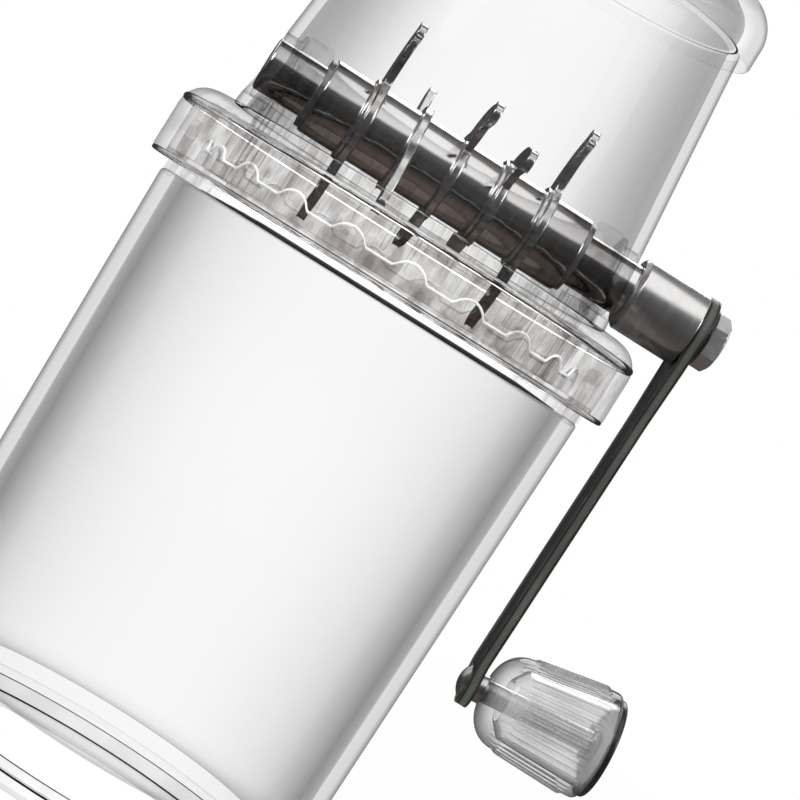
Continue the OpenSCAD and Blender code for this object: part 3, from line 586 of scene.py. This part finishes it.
# Dark rubber strips under the collar's front and back: a seal, and also a painted shadow line under the
# collar, thinned and faded at both ends where that shade fades
seal = dict(inner=55.5, outer=60.5, height=0.95, half=52.0, fade=0.8)
sealOutline = stepped((seal["inner"], seal["outer"]), (cupRim, cupRim + seal["height"]), (0.4,) * 4)
for sealName, sealMiddle, replaced in [("sealFront", 270.0, ["seal_strips"]), ("sealBack", 90.0, [])]:
    settle(arcPiece(sealName, sealOutline, sealMiddle, seal["half"], 96, seal["fade"]),
           "head", "seal", sealRubberAndShade, *replaced)


def wavy(radius, height, angle):
    # The crest bead climbs over the scallops as the plate's ring does: height + scalloped top - plain top
    return radius, height + scalloped(radius, ringTop + 0 * radius, angle)[1] - ringTop


beads = {  # thin rings: radius and height of the middle, thickness, reshaping and finish
    "shoulderBead": (63.75, 158.7, 2.0, None, edgeBead), "lipBead": (64.1, 144.1, 1.25, None, edgeBead),
    # The crest bead is a painted highlight: a white line along the scallops' crest
    "crestBead": (53.0, 149.7, 0.75, wavy, crestHighlight)}
for beadName, (beadRadius, beadHeight, beadWidth, beadShape, beadFinish) in beads.items():
    beadOutline = arcOf(beadRadius, beadHeight, beadWidth / 2, 0, 330, 11)
    settle(turned(beadName, beadOutline, upright, 480, beadShape, sharpAngle=80),
           "head", "clear_head", beadFinish)

comb = dict(thickness=3.6, height=20.0, rimHeight=5.0, rimInner=43.8, rimOuter=46.4, reach=45.6,
            notch=16.0, middle=0.6, pitch=12.4, count=6)


def makeBar(index):
    # One comb bar along Y. Its section is drawn at a plain height, then its upper half is lifted to the top:
    # the bar's height, or shaft - sqrt(notch^2 - y^2) in the round notch under the shaft
    across = comb["middle"] + (index - (comb["count"] - 1) / 2) * comb["pitch"]
    half, drawn = comb["thickness"] / 2, 10.0
    end = math.sqrt(comb["reach"] ** 2 - (abs(across) + half) ** 2)
    along = np.concatenate([[-end, -end + 0.35], np.linspace(-end + 0.7, end - 0.7, 90), [end - 0.35, end]])
    shrink = np.ones(len(along))
    shrink[[0, -1]], shrink[[1, -2]] = 0.78, 0.94  # rounds the ends
    low, high = plateTop + apart, plateTop + comb["height"]
    notched = np.minimum(high, shaftHeight - roundOver(comb["notch"], along))
    top = np.where(np.abs(along) < comb["notch"], notched, high)
    section = stepped((-half, half), (0.0, drawn), (0.3, 0.3, 0.9, 0.9), 6)
    lift = np.where(section[:, 1] > drawn / 2, 1.0, 0.0)
    z = low + section[:, 1] + (top[:, None] - low - drawn) * lift
    x = across + section[:, 0] * shrink[:, None]
    points = joined(x, along[:, None], z)
    return putMesh("combBar" + str(index + 1), points, sweptFaces(len(along), len(section)))


settle(turned("combRim", stepped(
    (comb["rimInner"], comb["rimOuter"]), (plateTop + apart, plateTop + comb["rimHeight"]),
    (0.3, 0.3, 0.5, 0.5)), upright), "head", "clear_head", clearBars, "crushing_comb")
for barIndex in range(comb["count"]):
    settle(makeBar(barIndex), "head", "clear_head", clearBars)
print("collar, plate and comb made")


# Hopper, bearings, bushes and lid

hopper = dict(foot=53.4, rim=45.9, wall=3.0, rimRound=1.2, holeRadius=9.0, holeReach=70.0)


def hopperPart(radius, height):
    # 0 outside, 1 inside, 2 the rim; inside is more than 0.6 of the wall under the straight taper
    share = (height - collarTop) * (hopper["foot"] - hopper["rim"]) / (hopperRim - collarTop)
    return 2 if height > hopperRim - 1.0 else radius < hopper["foot"] - share - hopper["wall"] * 0.6


hopperShell = turned("hopperShell", outlineOf([
    (hopper["foot"] - hopper["wall"], collarTop, 0.3), (hopper["foot"], collarTop, 0.4),
    (hopper["rim"], hopperRim, hopper["rimRound"]),
    (hopper["rim"] - hopper["wall"], hopperRim, hopper["rimRound"])], 8), upright, 256, partAt=hopperPart)
carved(hopperShell, turned("holeBar", stepped(
    (0.0, hopper["holeRadius"]), (-hopper["holeReach"], hopper["holeReach"]), (0, 0, 0, 0)), alongShaft, 96))
settle(hopperShell, "head", "clear_hopper", [wallOuter, hopperInner, cupFloor], "hopper")

bush = dict(bore=7.05, outer=8.9, flange=10.6, flangeStart=45.9, flangeEnd=46.9, end=51.2)
bushOutline = stepped((bush["bore"], bush["flange"], bush["outer"]), (
    bush["flangeStart"], bush["flangeEnd"], bush["end"]), (0.2, 0.3, 0.3, 0, 0.3, 0.3))
for side, sideName in sides:
    settle(turned("bush" + sideName, bushOutline * [1, side], alongShaft, 128),
           "head", "bush", softClear, "bush_" + sideName.lower())

bearing = dict(start=38.7, radius=11.2, reach=45.6, bore=7.05, foot=151.0, corner=2.0)


def makeBearing(side, name):
    # Arch-shaped block with a bore: loops of matching points, with x at the start plane inside and
    # sqrt(reach^2 - y^2) outside, where the block follows the chamber's wall
    radius, drop = bearing["radius"], shaftHeight - bearing["foot"]
    legHeights = np.linspace(-1.5, bearing["corner"] - drop, 13)
    footPlaces = np.linspace(-radius, radius, 25)[1:-1]
    arch = np.concatenate([
        arcOf(0, 0, radius, 0, 180, 40), joined(-radius, legHeights), joined(footPlaces, -drop),
        joined(radius, legHeights[::-1])])
    turn = np.arctan2(arch[:, 1], arch[:, 0])
    bore = bearing["bore"] * joined(np.cos(turn), np.sin(turn))
    loops = [(bore, 1.0, 0, 0.3), (bore, 1.04, 0, 0.0), (arch, 0.96, 0, 0.0), (arch, 1.0, 0, 0.5)]
    loops += [(outline, inset, 1, -shift) for outline, inset, isOuter, shift in loops[::-1]]
    rows = []
    for outline, inset, isOuter, shift in loops:
        y, z = (outline * inset).T
        x = np.sqrt(bearing["reach"] ** 2 - y ** 2) if isOuter else bearing["start"] + 0 * y
        rows.append(joined(side * (x + shift), y, shaftHeight + z))
    return putMesh("bearing" + name, np.concatenate(rows), gridFaces(len(rows), len(arch), True), None, 40)


for side, sideName in sides:
    settle(makeBearing(side, sideName), "head", "clear_head", clearBars, "bearing_" + sideName.lower())

lid = dict(skirtFoot=235.6, skirtInner=46.64, outer=49.54, inner=43.64, shoulder=9.5,
           side=242.2, domeRise=6.5, thickness=3.0, lipRound=1.4)


def makeLid():
    # Skirt, side and shoulder arc outside, then a dome arc of radius (flat^2 + rise^2) / (2 rise) over the
    # top, and the same inside by the thickness
    wall, shoulder, side = lid["thickness"], lid["shoulder"], lid["side"]
    foot, seat = lid["skirtFoot"], hopperRim
    flat = lid["outer"] - shoulder
    domeRadius = (flat ** 2 + lid["domeRise"] ** 2) / (2 * lid["domeRise"])
    opening = math.degrees(math.asin(flat / domeRadius))
    centre = side + shoulder + lid["domeRise"] - domeRadius
    outline = np.concatenate([
        arcOf(0, centre, domeRadius - wall, 90, 90 - opening, 24),
        arcOf(lid["inner"] - shoulder + wall, side, shoulder - wall, 90 - opening, 0, 16),
        outlineOf([(lid["inner"], seat + 0.4, 0.0), (lid["inner"], seat, 0.3), (lid["skirtInner"], seat, 0.4),
                   (lid["skirtInner"], foot, 0.3), (lid["outer"], foot, lid["lipRound"]),
                   (lid["outer"], foot + 3.0, 0.0)]),
        arcOf(flat, side, shoulder, 0, 90 - opening, 20),
        arcOf(0, centre, domeRadius, 90 - opening, 90, 24)[1:]])

    def partAt(radius, height):
        # 0 outside, 1 inside, 2 the flat foot and seat of the skirt
        if radius < lid["outer"] - 0.5 and height < seat + 0.5:
            return 2
        return radius < lid["inner"] + 0.2 and height < centre + math.sqrt(
            max((domeRadius - wall / 2) ** 2 - radius ** 2, 0))
    return turned("lidShell", outline, upright, 256, partAt=partAt)


settle(makeLid(), "lid", "clear_lid", [wallOuter, hopperInner, cupFloor], "lid")
print("hopper, bearings and lid made")


# Shaft, sleeves and blades

shaft = dict(start=-51.78, stubStart=53.4, stubEnd=69.4, radius=7.0, stubRadius=5.0, flat=5.5,
             stackEnd=37.0, grooveRadius=6.2, ring=1.2, boltBore=3.05, boltDepth=9.0)


def flattened(radius, reach, angle):
    # Within the blade stack the section is clipped at both flats: r = flat / |cos a| where that is less
    limit = shaft["flat"] / np.maximum(np.abs(np.cos(angle)), 1e-6)
    onFlats = (np.abs(reach) < shaft["stackEnd"] - 0.001) & (radius > shaft["flat"])
    return np.where(onFlats, np.minimum(radius, limit), radius), reach


def makeShaft():
    # Rounded end, two grooves with the flats between them, then the stub with its bolt hole
    bar, core, stub, bore = (shaft[key] for key in ("radius", "grooveRadius", "stubRadius", "boltBore"))
    start, end, ring, step = shaft["start"], shaft["stackEnd"], shaft["ring"], 0.01
    holeEnd = shaft["stubEnd"] - shaft["boltDepth"]
    outline = np.concatenate([
        [(0.0, start)], outlineOf([(0.0, start, 0.0), (bar, start, 0.8), (bar, 0.0, 0.0)], 5)[1:-1],
        [(bar, -end - ring), (core, -end - ring), (core, -end), (bar, -end), (bar, -end + step),
         (bar, end - step), (bar, end), (core, end), (core, end + ring), (bar, end + ring),
         (bar, shaft["stubStart"]), (stub, shaft["stubStart"]), (stub, shaft["stubEnd"]),
         (bore, shaft["stubEnd"]), (bore, holeEnd), (0.0, holeEnd)]])
    return turned("shaftBar", outline, alongShaft, 128, flattened)


settle(makeShaft(), "rotor", "chrome", chrome, "shaft")

blades = dict(places=[-24.2, -11.8, 0.6, 13.0, 25.4], phases=[18.0, -56.0, 47.0, 62.0, 14.0],
              washers=[1.2, 0, 0, 1.2, 1.2], thickness=2.0, tip=29.0, disc=11.6, rootHalf=6.0,
              tipHalf=2.8, hook=math.radians(26.0), edge=0.85)
sleeve = dict(outer=10.0, bore=7.05, washerOuter=11.2)


def makeSleeve(number, start, end):
    # A plain tube between two places on the shaft
    section = stepped((sleeve["bore"], sleeve["outer"]), (start, end), (0.3, 0.45, 0.45, 0.3))
    settle(turned("sleeve" + number, section, alongShaft, 160), "rotor", "chrome", chrome, "sleeve_" + number)


# Each blade takes its washer in front of it and its own thickness out of the stack; sleeves fill the rest
sleeveStart = -shaft["stackEnd"]
for index, (place, washerWidth) in enumerate(zip(blades["places"], blades["washers"])):
    sleeveEnd = place - blades["thickness"] / 2 - washerWidth
    makeSleeve(str(index + 1), sleeveStart, sleeveEnd)
    if washerWidth:
        section = stepped((sleeve["bore"], sleeve["washerOuter"]), (sleeveEnd, sleeveEnd + washerWidth),
                          (0.2, 0.35, 0.35, 0.2))
        settle(turned("bladeWasher" + str(index + 1), section, alongShaft, 160),
               "rotor", "blade_steel", bladeSteel, *(["blade_washers"] if index == 0 else []))
    sleeveStart = place + blades["thickness"] / 2
makeSleeve("6", sleeveStart, shaft["stackEnd"])


def clawSide(side, t):
    # One side of a claw at the share t of its length: the middle line turns by hook * t^2 while it narrows
    turn = blades["hook"] * t * t
    half = side * (blades["rootHalf"] + (blades["tipHalf"] - blades["rootHalf"]) * t)
    along = (blades["tip"] - blades["tipHalf"]) * t
    return joined(half * np.cos(turn) - along * np.sin(turn), along * np.cos(turn) + half * np.sin(turn))


def bladeOutline():
    # Two claws on a disc: the parts of both sides outside the disc, a round tip, and arcs of the disc between
    fine, hook = np.linspace(0, 1, 400), blades["hook"]
    right, left = clawSide(1, fine), clawSide(-1, fine)
    right = right[np.hypot(*right.T) > blades["disc"]][::16]
    left = left[np.hypot(*left.T) > blades["disc"]][::-16]
    tipCentre = (blades["tip"] - blades["tipHalf"]) * np.array([-math.sin(hook), math.cos(hook)])
    tipTurn = hook + np.linspace(0.12, math.pi - 0.12, 14)
    tip = tipCentre + blades["tipHalf"] * joined(np.cos(tipTurn), np.sin(tipTurn))
    claw = np.concatenate([right, tip, left])
    gapStart = math.degrees(math.atan2(claw[-1, 1], claw[-1, 0]))
    gapEnd = math.degrees(math.atan2(-claw[0, 1], -claw[0, 0])) % 360
    half = np.concatenate([claw, arcOf(0, 0, blades["disc"], gapStart + 3, gapEnd - 3, 12)])
    return np.concatenate([half, -half])


bladeShape = bladeOutline()
for index, (place, phase) in enumerate(zip(blades["places"], blades["phases"])):
    turn = math.radians(phase) - blades["hook"]
    spin = np.array([[math.cos(turn), math.sin(turn)], [-math.sin(turn), math.cos(turn)]])

    def onShaft(outline, across, spin=spin, place=place):
        # Turned by the blade's phase, then stood across the shaft
        y, z = (outline @ spin).T
        return joined(place - blades["thickness"] / 2 + across, y, shaftHeight + z)
    blade = plate("blade" + str(index + 1), bladeShape, onShaft, blades["thickness"])
    blade = softened(blade, blades["edge"], 4, 30)
    settle(blade, "rotor", "blade_steel", bladeSteel, "blade_" + str(index + 1))
nodes["retaining_rings"].data.materials.clear()
nodes["retaining_rings"].data.materials.append(springSteel)
print("shaft and blades made")


# Hub, crank arm and bolt

hub = dict(start=53.6, end=72.0, radius=9.9, bevel=1.2, stubBore=5.05, stubEnd=69.4, boltBore=3.2)
settle(turned("hubBarrel", outlineOf([
    (hub["stubBore"], hub["start"], 0.3), (hub["radius"] - hub["bevel"], hub["start"], 0.3),
    (hub["radius"], hub["start"] + hub["bevel"], 0.4), (hub["radius"], hub["end"], 0.35),
    (hub["boltBore"], hub["end"], 0.0), (hub["boltBore"], hub["stubEnd"], 0.0),
    (hub["stubBore"], hub["stubEnd"], 0.0)], 4), alongShaft, 160), "rotor", "hub_steel", hubSteel, "hub")

arm = dict(top=72.0, thickness=3.0, headRadius=9.8, footRadius=5.8, waistHalf=6.5, waistShare=0.25,
           wrap=math.radians(20.0), edge=0.55)


def makeArm():
    # Sections from the round head to the round foot. Half widths are sqrt(r^2 - offset^2) in both rounds and
    # a taper between them. The inner face leans down to the bend, then follows the knob's tilt
    drop, tilt, head, foot = knobDrop, knobTilt, arm["headRadius"], arm["footRadius"]
    waist = drop * arm["waistShare"]
    headTurn = np.radians(np.linspace(0, 90 + math.degrees(arm["wrap"]), 40))
    footTurn = np.radians(np.linspace(90, 180, 28))
    height = np.concatenate([head * np.cos(headTurn), np.linspace(-6, -waist, 14),
                             np.linspace(-waist, -drop, 40)[1:-1], -drop + foot * np.cos(footTurn)])
    wrapHalf, wrapDrop = head * math.cos(arm["wrap"]), -head * math.sin(arm["wrap"])
    straight = np.interp(-height, [-wrapDrop, waist, drop], [wrapHalf, arm["waistHalf"], foot])
    half = np.where(height > wrapDrop, roundOver(head, height),
                    np.where(height < -drop, roundOver(foot, height + drop), straight))
    half = np.maximum(half, 0.02)
    bendHeight = -drop + math.cos(tilt) * foot
    bendReach = armFoot - math.sin(tilt) * foot
    lowest = -drop - foot - 1.0
    inner = np.interp(-height, [head, -bendHeight, -lowest],
                      [arm["top"], bendReach, bendReach + (bendHeight - lowest) * math.tan(tilt)])
    armLean = -math.atan((arm["top"] - bendReach) / -(bendHeight + head))
    lean = np.interp(-height, [head, head + 1, -bendHeight - 0.5, -bendHeight + 0.5],
                     [0.0, armLean, armLean, tilt])
    thickness, edge = arm["thickness"] / np.cos(lean), arm["edge"]
    steps = np.radians(np.linspace(0, 90, 5))
    corner = joined(1 - np.sin(steps), 1 - np.cos(steps))  # how far its points lie in from both sides
    across, through = [], []
    for signY, isOuter, order in [
            (1, 0, corner[::-1]), (1, 1, corner), (-1, 1, corner[::-1]), (-1, 0, corner)]:
        across.append(signY * (half[:, None] - np.minimum(edge, half)[:, None] * order[:, 0]))
        depth = edge * order[:, 1]
        through.append((thickness[:, None] - depth) if isOuter else (0 * half[:, None] + depth))
    y, x = np.concatenate(across, 1), inner[:, None] + np.concatenate(through, 1)
    points = joined(x, y, shaftHeight + height[:, None])
    count = y.shape[1]
    isLitEdge = np.isin(np.arange(count), [3, 4, 5, 13, 14, 15])  # the narrow sides, painted lighter: a painted highlight against the dark faces
    parts = np.concatenate([np.tile(isLitEdge, len(height) - 1), [True, True]]).astype(np.int32)
    return putMesh("crankArm", points, sweptFaces(len(height), count), parts, 40)


settle(makeArm(), "rotor", "arm_black", [armPaint, armLitEdge], "crank_arm")

boltWasher = dict(start=75.0, end=76.2, radius=8.0, bore=3.2)
settle(turned("boltWasher", stepped(
    (boltWasher["bore"], boltWasher["radius"]), (boltWasher["start"], boltWasher["end"]),
    (0.2, 0.35, 0.35, 0.2)), alongShaft, 128), "rotor", "black_washer", blackPlastic, "bolt_washer")

bolt = dict(headStart=76.2, headEnd=80.6, halfFlats=6.5, chamfer=0.5, shank=3.0, start=60.4)


def hexagonal(radius, reach, angle):
    # A hexagon's side lies at half flats / cos(angle from its middle); the chamfer's cone cuts its corners
    hexagon = bolt["halfFlats"] / np.cos(offsetFrom(angle, math.pi / 3))
    cone = (bolt["halfFlats"] - bolt["chamfer"]) + (bolt["headEnd"] - reach) / math.tan(math.radians(30))
    onHead = radius > bolt["shank"] + 1
    isFace = onHead & (reach > bolt["headEnd"] - 0.001)
    shaped = np.where(onHead, np.minimum(hexagon, cone), radius)
    return np.where(isFace, np.minimum(radius, cone), shaped), reach


boltOutline = np.concatenate([
    [(0.0, bolt["start"]), (bolt["shank"], bolt["start"]), (bolt["shank"], bolt["headStart"])],
    joined(bolt["halfFlats"] * 2, np.linspace(bolt["headStart"], bolt["headEnd"], 16)),
    [(bolt["shank"], bolt["headEnd"]), (0.0, bolt["headEnd"])]])
settle(turned("crankBolt", boltOutline, alongShaft, 192, hexagonal, sharpAngle=25),
       "rotor", "bolt_chrome", boltChrome, "crank_bolt")
print("crank made")


# Knob

knob = dict(start=5.7, length=32.0, faceRadius=4.0, shoulder=12.3, dome=8.0, rimRadius=14.4,
            rim=3.7, wall=3.0, rimRound=1.4, ribCount=44, ribRadius=0.6, coreRadius=5.4,
            coreEnd=3.2, bore=3.05, capInset=1.2, capThickness=1.5, capSunk=0.5)
ribsEnd = knob["length"] - knob["rim"]
knobEnd = knob["start"] + knob["length"]


def ribbed(radius, reach, angle):
    # Ribs are round bars laid on the flared side: each adds sqrt(r^2 - offset^2), faded out at both ends
    along = reach - knob["start"]
    onSide = (along > knob["dome"] + 0.2) & (along < ribsEnd - 0.05) & (radius > knob["shoulder"] - 0.2)
    rib = roundOver(knob["ribRadius"], offsetFrom(angle * radius, 2 * math.pi * radius / knob["ribCount"]))
    fade = np.clip((along - knob["dome"]) / 1.2, 0, 1) * np.clip((ribsEnd - along) / 0.6, 0, 1)
    return np.where(onSide, radius + rib * np.sqrt(fade), radius), reach


def makeKnob():
    # Quarter ellipse for the dome, a straight flare to the rim, then the hollow inside round its core
    face, shoulder, dome, rim = knob["faceRadius"], knob["shoulder"], knob["dome"], knob["rimRadius"]
    wall, length, core, bore = knob["wall"], knob["length"], knob["coreRadius"], knob["bore"]
    coreTop = length - knob["coreEnd"]
    turn, flareRows = np.radians(np.linspace(0, 90, 20)), np.linspace(dome, ribsEnd, 26)
    outline = [0, knob["start"]] + np.concatenate([
        joined(face + (shoulder - face) * np.sin(turn), dome * (1 - np.cos(turn))),
        joined(np.interp(flareRows, [dome, ribsEnd], [shoulder, rim]), flareRows)[1:],
        outlineOf([(rim, ribsEnd + 0.2, 0.0), (rim, length, knob["rimRound"]), (rim - wall, length, 0.4),
                   (rim - wall, ribsEnd, 0.0), (shoulder - wall, dome, 1.5), (core, dome - wall, 0.4),
                   (core, coreTop, 0.4), (bore, coreTop, 0.0), (bore, 0.0, 0.0)], 5)])

    def isInside(radius, reach):
        # More than 0.8 mm under the dome and the flared side
        along = reach - knob["start"]
        rise = min(max(1 - along / dome, 0), 1)
        flare = min(max((along - dome) / (ribsEnd - dome), 0), 1)
        skin = face + (shoulder - face) * math.sqrt(1 - rise ** 2) + (rim - shoulder) * flare
        return radius < skin - 0.8 and along < length - 0.2
    return turned("knobShell", outline, alongKnob, knob["ribCount"] * 12, ribbed, isInside, 50)


def isLitFace(radius, reach):
    # The cap's inner face, sunk into the knob's rim, painted a lighter grey as if lit through the clear rim
    return reach < knobEnd - 0.4


settle(makeKnob(), "knob", "clear_knob", [clearKnob, knobInside], "knob")
capInner, capOuter = knob["rimRadius"] - knob["wall"] - 0.2, knob["rimRadius"] - knob["capInset"]
capOutline = stepped(
    (0.0, capInner, capOuter), (knobEnd - knob["capSunk"], knobEnd, knobEnd + knob["capThickness"]),
    (0, 0.2, 0, 0.2, 0.6, 0), 5)
settle(turned("knobCap", capOutline, alongKnob, 128, partAt=isLitFace),
       "knob", "cap_black", [blackPlastic, capLitFace], "knob_cap")

spindle = dict(head=4.6, rivet=1.8, radius=3.0, end=34.9, domeMiddle=4.9, domeRadius=6.7, domeEnd=312)


def makeSpindle():
    # A domed head under the arm (an arc of the dome radius round its middle), the pin, and a riveted head
    # inside the knob
    head, pin, end = spindle["head"], spindle["radius"], spindle["end"]
    rivetEnd = end + spindle["rivet"]
    return turned("knobSpindle", np.concatenate([
        [(0.0, -spindle["rivet"])],
        arcOf(0, spindle["domeMiddle"], spindle["domeRadius"], 270, spindle["domeEnd"], 10)[1:],
        outlineOf([(head, -0.2, 0), (head, 0.0, 0), (pin, 0.0, 0), (pin, end, 0), (head, end, 0.3),
                   (head, rivetEnd, 0.5), (0.0, rivetEnd, 0)], 4)]), alongKnob, 96)


settle(makeSpindle(), "rotor", "spindle_steel", spindleSteel, "knob_spindle")

spacer = dict(start=3.0, end=5.3, radius=3.8, bore=3.05)
settle(turned("spindleSpacer", stepped(
    (spacer["bore"], spacer["radius"]), (spacer["start"], spacer["end"]), (0.1, 0.25, 0.25, 0.1), 3),
    alongKnob, 96), "rotor", "black_washer", spindleSteel, "spindle_spacer")
print("knob made")


# Floor, light and camera

studio = {
    "floorRadius": 0.9, "floorDrop": 0.0002, "floorColour": 0.82, "floorGlow": 0.84, "floorShade": 0.16,
    "room": 0.5, "sheenReach": 0.28,
    "floorSheen": [(0.0, (0.15, 0.122, 0.108)), (0.35, (0.12, 0.097, 0.086)), (0.6, (0.055, 0.047, 0.043)),
                   (1.0, (0.03, 0.029, 0.028))],
    "bands": [(0.0, (0.06, 0.055, 0.05)), (0.4, (0.05, 0.045, 0.042)), (0.5, 0.035),
              (0.62, (0.06, 0.062, 0.065)), (0.75, (0.12, 0.12, 0.125)), (1.0, (0.2, 0.2, 0.205))],
    "softboxes": [  # direction, cosine from it at the edge and at the core, level
        ((0.0, -0.454, 0.891), 0.815, 0.915, 1.0), ((0.0, 0.64, 0.77), 0.9, 0.97, 0.1),
        ((-0.64, 0.66, 0.39), 0.88, 0.96, 0.85), ((0.64, 0.66, 0.39), 0.88, 0.96, 0.85)],
}


def isReflected(tree, path):
    # 1 for every ray that has left a glossy surface: min(glossy depth, 1)
    return addNode(tree, "Math", {0: path.outputs["Glossy Depth"], 1: 1.0}, operation="MINIMUM")


def makeFloor():
    # A wide disc. The camera sees glow + shade * light: white with the object's soft shadow. Diffuse surfaces
    # are lit by it plainly, and reflections see a sheen by the distance from the middle
    turn = np.linspace(0, 2 * math.pi, 96, endpoint=False)
    rim = upright(studio["floorRadius"], -studio["floorDrop"], turn)
    mesh = bpy.data.meshes.new("floor")
    mesh.from_pydata(rim.tolist(), [], [list(range(len(rim)))])
    floor = placed("floor", mesh)
    material = bpy.data.materials.new("paleFloor")
    tree = emptyTree(material)
    path = addNode(tree, "LightPath", {})
    plain = addNode(tree, "BsdfDiffuse", {"Color": greyOf(studio["floorColour"])})
    dim = addNode(tree, "BsdfDiffuse", {"Color": greyOf(studio["floorShade"])})
    glow = addNode(tree, "Emission", {"Color": white, "Strength": studio["floorGlow"]})
    seen = addNode(tree, "AddShader", {0: dim, 1: glow})
    place = addNode(tree, "TexCoord", {})
    away = addNode(tree, "VectorMath", {0: place.outputs["Object"]}, operation="LENGTH")
    sheen = rampOf(tree, spanOf(tree, away.outputs["Value"], 0.0, studio["sheenReach"]), studio["floorSheen"])
    mirrored = addNode(tree, "Emission", {"Color": sheen, "Strength": 1.0})
    direct = mixOf(tree, "MixShader", path.outputs["Is Diffuse Ray"], seen, plain)
    surface = mixOf(tree, "MixShader", isReflected(tree, path), direct, mirrored)
    mesh.materials.append(finished(material, surface))


def makeWorld():
    # White to the eye and through clear plastic, grey to diffuse surfaces; reflections see bands by the
    # direction's height, with a bright softbox where it lies close to one's aim
    world = bpy.data.worlds.new("studio")
    scene.world = world
    tree = emptyTree(world)
    path = addNode(tree, "LightPath", {})
    place = addNode(tree, "TexCoord", {})
    parts = addNode(tree, "SeparateXYZ", {"Vector": place.outputs["Generated"]})
    lit = rampOf(tree, spanOf(tree, parts.outputs["Z"], -1.0, 1.0), studio["bands"])
    for aim, edge, core, level in studio["softboxes"]:
        toward = addNode(tree, "VectorMath", {0: place.outputs["Generated"], 1: aim}, operation="DOT_PRODUCT")
        inside = spanOf(tree, toward.outputs["Value"], edge, core, blend="SMOOTHSTEP")
        lit = mixOf(tree, "MixRGB", inside, lit, greyOf(level))
    direct = mixOf(tree, "MixRGB", path.outputs["Is Diffuse Ray"], white, greyOf(studio["room"]))
    colour = mixOf(tree, "MixRGB", isReflected(tree, path), direct, lit)
    background = addNode(tree, "Background", {"Color": colour, "Strength": 1.0})
    addNode(tree, "OutputWorld", {"Surface": background})


lamps = [  # name, place in metres, size, strength in watts
    ("softboxLeft", (-0.75, -0.7, 0.75), 0.6, 5.0),
    ("softboxRight", (0.9, -0.55, 0.6), 0.5, 3.0),
    ("softboxBack", (0.1, 0.95, 0.8), 0.7, 3.5),
]
lampAim = Vector((0.02, 0.0, 0.13))


def makeLamps():
    # Round soft lamps, each turned so that its -Z axis points from its place to the object's middle
    for name, place, size, strength in lamps:
        light = bpy.data.lights.new(name, "AREA")
        light.shape, light.size, light.energy = "DISK", size, strength
        lamp = placed(name, light)
        lamp.location = place
        lamp.rotation_mode = "QUATERNION"
        lamp.rotation_quaternion = (lampAim - Vector(place)).to_track_quat("-Z", "Y")


camera = dict(azimuth=-7.0, elevation=1.239, distance=0.8, aim=(0.01993, 0.0, 0.12309), lean=32.0,
              lens=146.04, sensor=36.0, nearest=0.01, farthest=50.0)


def makeCamera():
    # Stands back from the aim by the azimuth and elevation, then rolls so that the object leans to the right
    azimuth, elevation, lean = (math.radians(camera[key]) for key in ("azimuth", "elevation", "lean"))
    level = math.cos(elevation)
    back = Vector((math.sin(azimuth) * level, -math.cos(azimuth) * level, math.sin(elevation)))
    right = (-back).cross(Vector((0, 0, 1))).normalized()
    up = right.cross(-back)
    across = right * math.cos(lean) + up * math.sin(lean)
    above = up * math.cos(lean) - right * math.sin(lean)
    data = bpy.data.cameras.new("camera")
    data.lens, data.sensor_width = camera["lens"], camera["sensor"]
    data.clip_start, data.clip_end = camera["nearest"], camera["farthest"]
    eye = placed("camera", data)
    eye.matrix_world = Matrix.Translation(Vector(camera["aim"]) + back * camera["distance"]) @ Matrix(
        (across, above, back)).transposed().to_4x4()
    scene.camera = eye


makeFloor()
makeWorld()
makeLamps()
makeCamera()
scene.view_settings.view_transform = "Standard"
scene.cycles.max_bounces = 40
scene.cycles.transmission_bounces = 36
scene.cycles.transparent_max_bounces = 40
scene.cycles.glossy_bounces = 12
print("stage made")
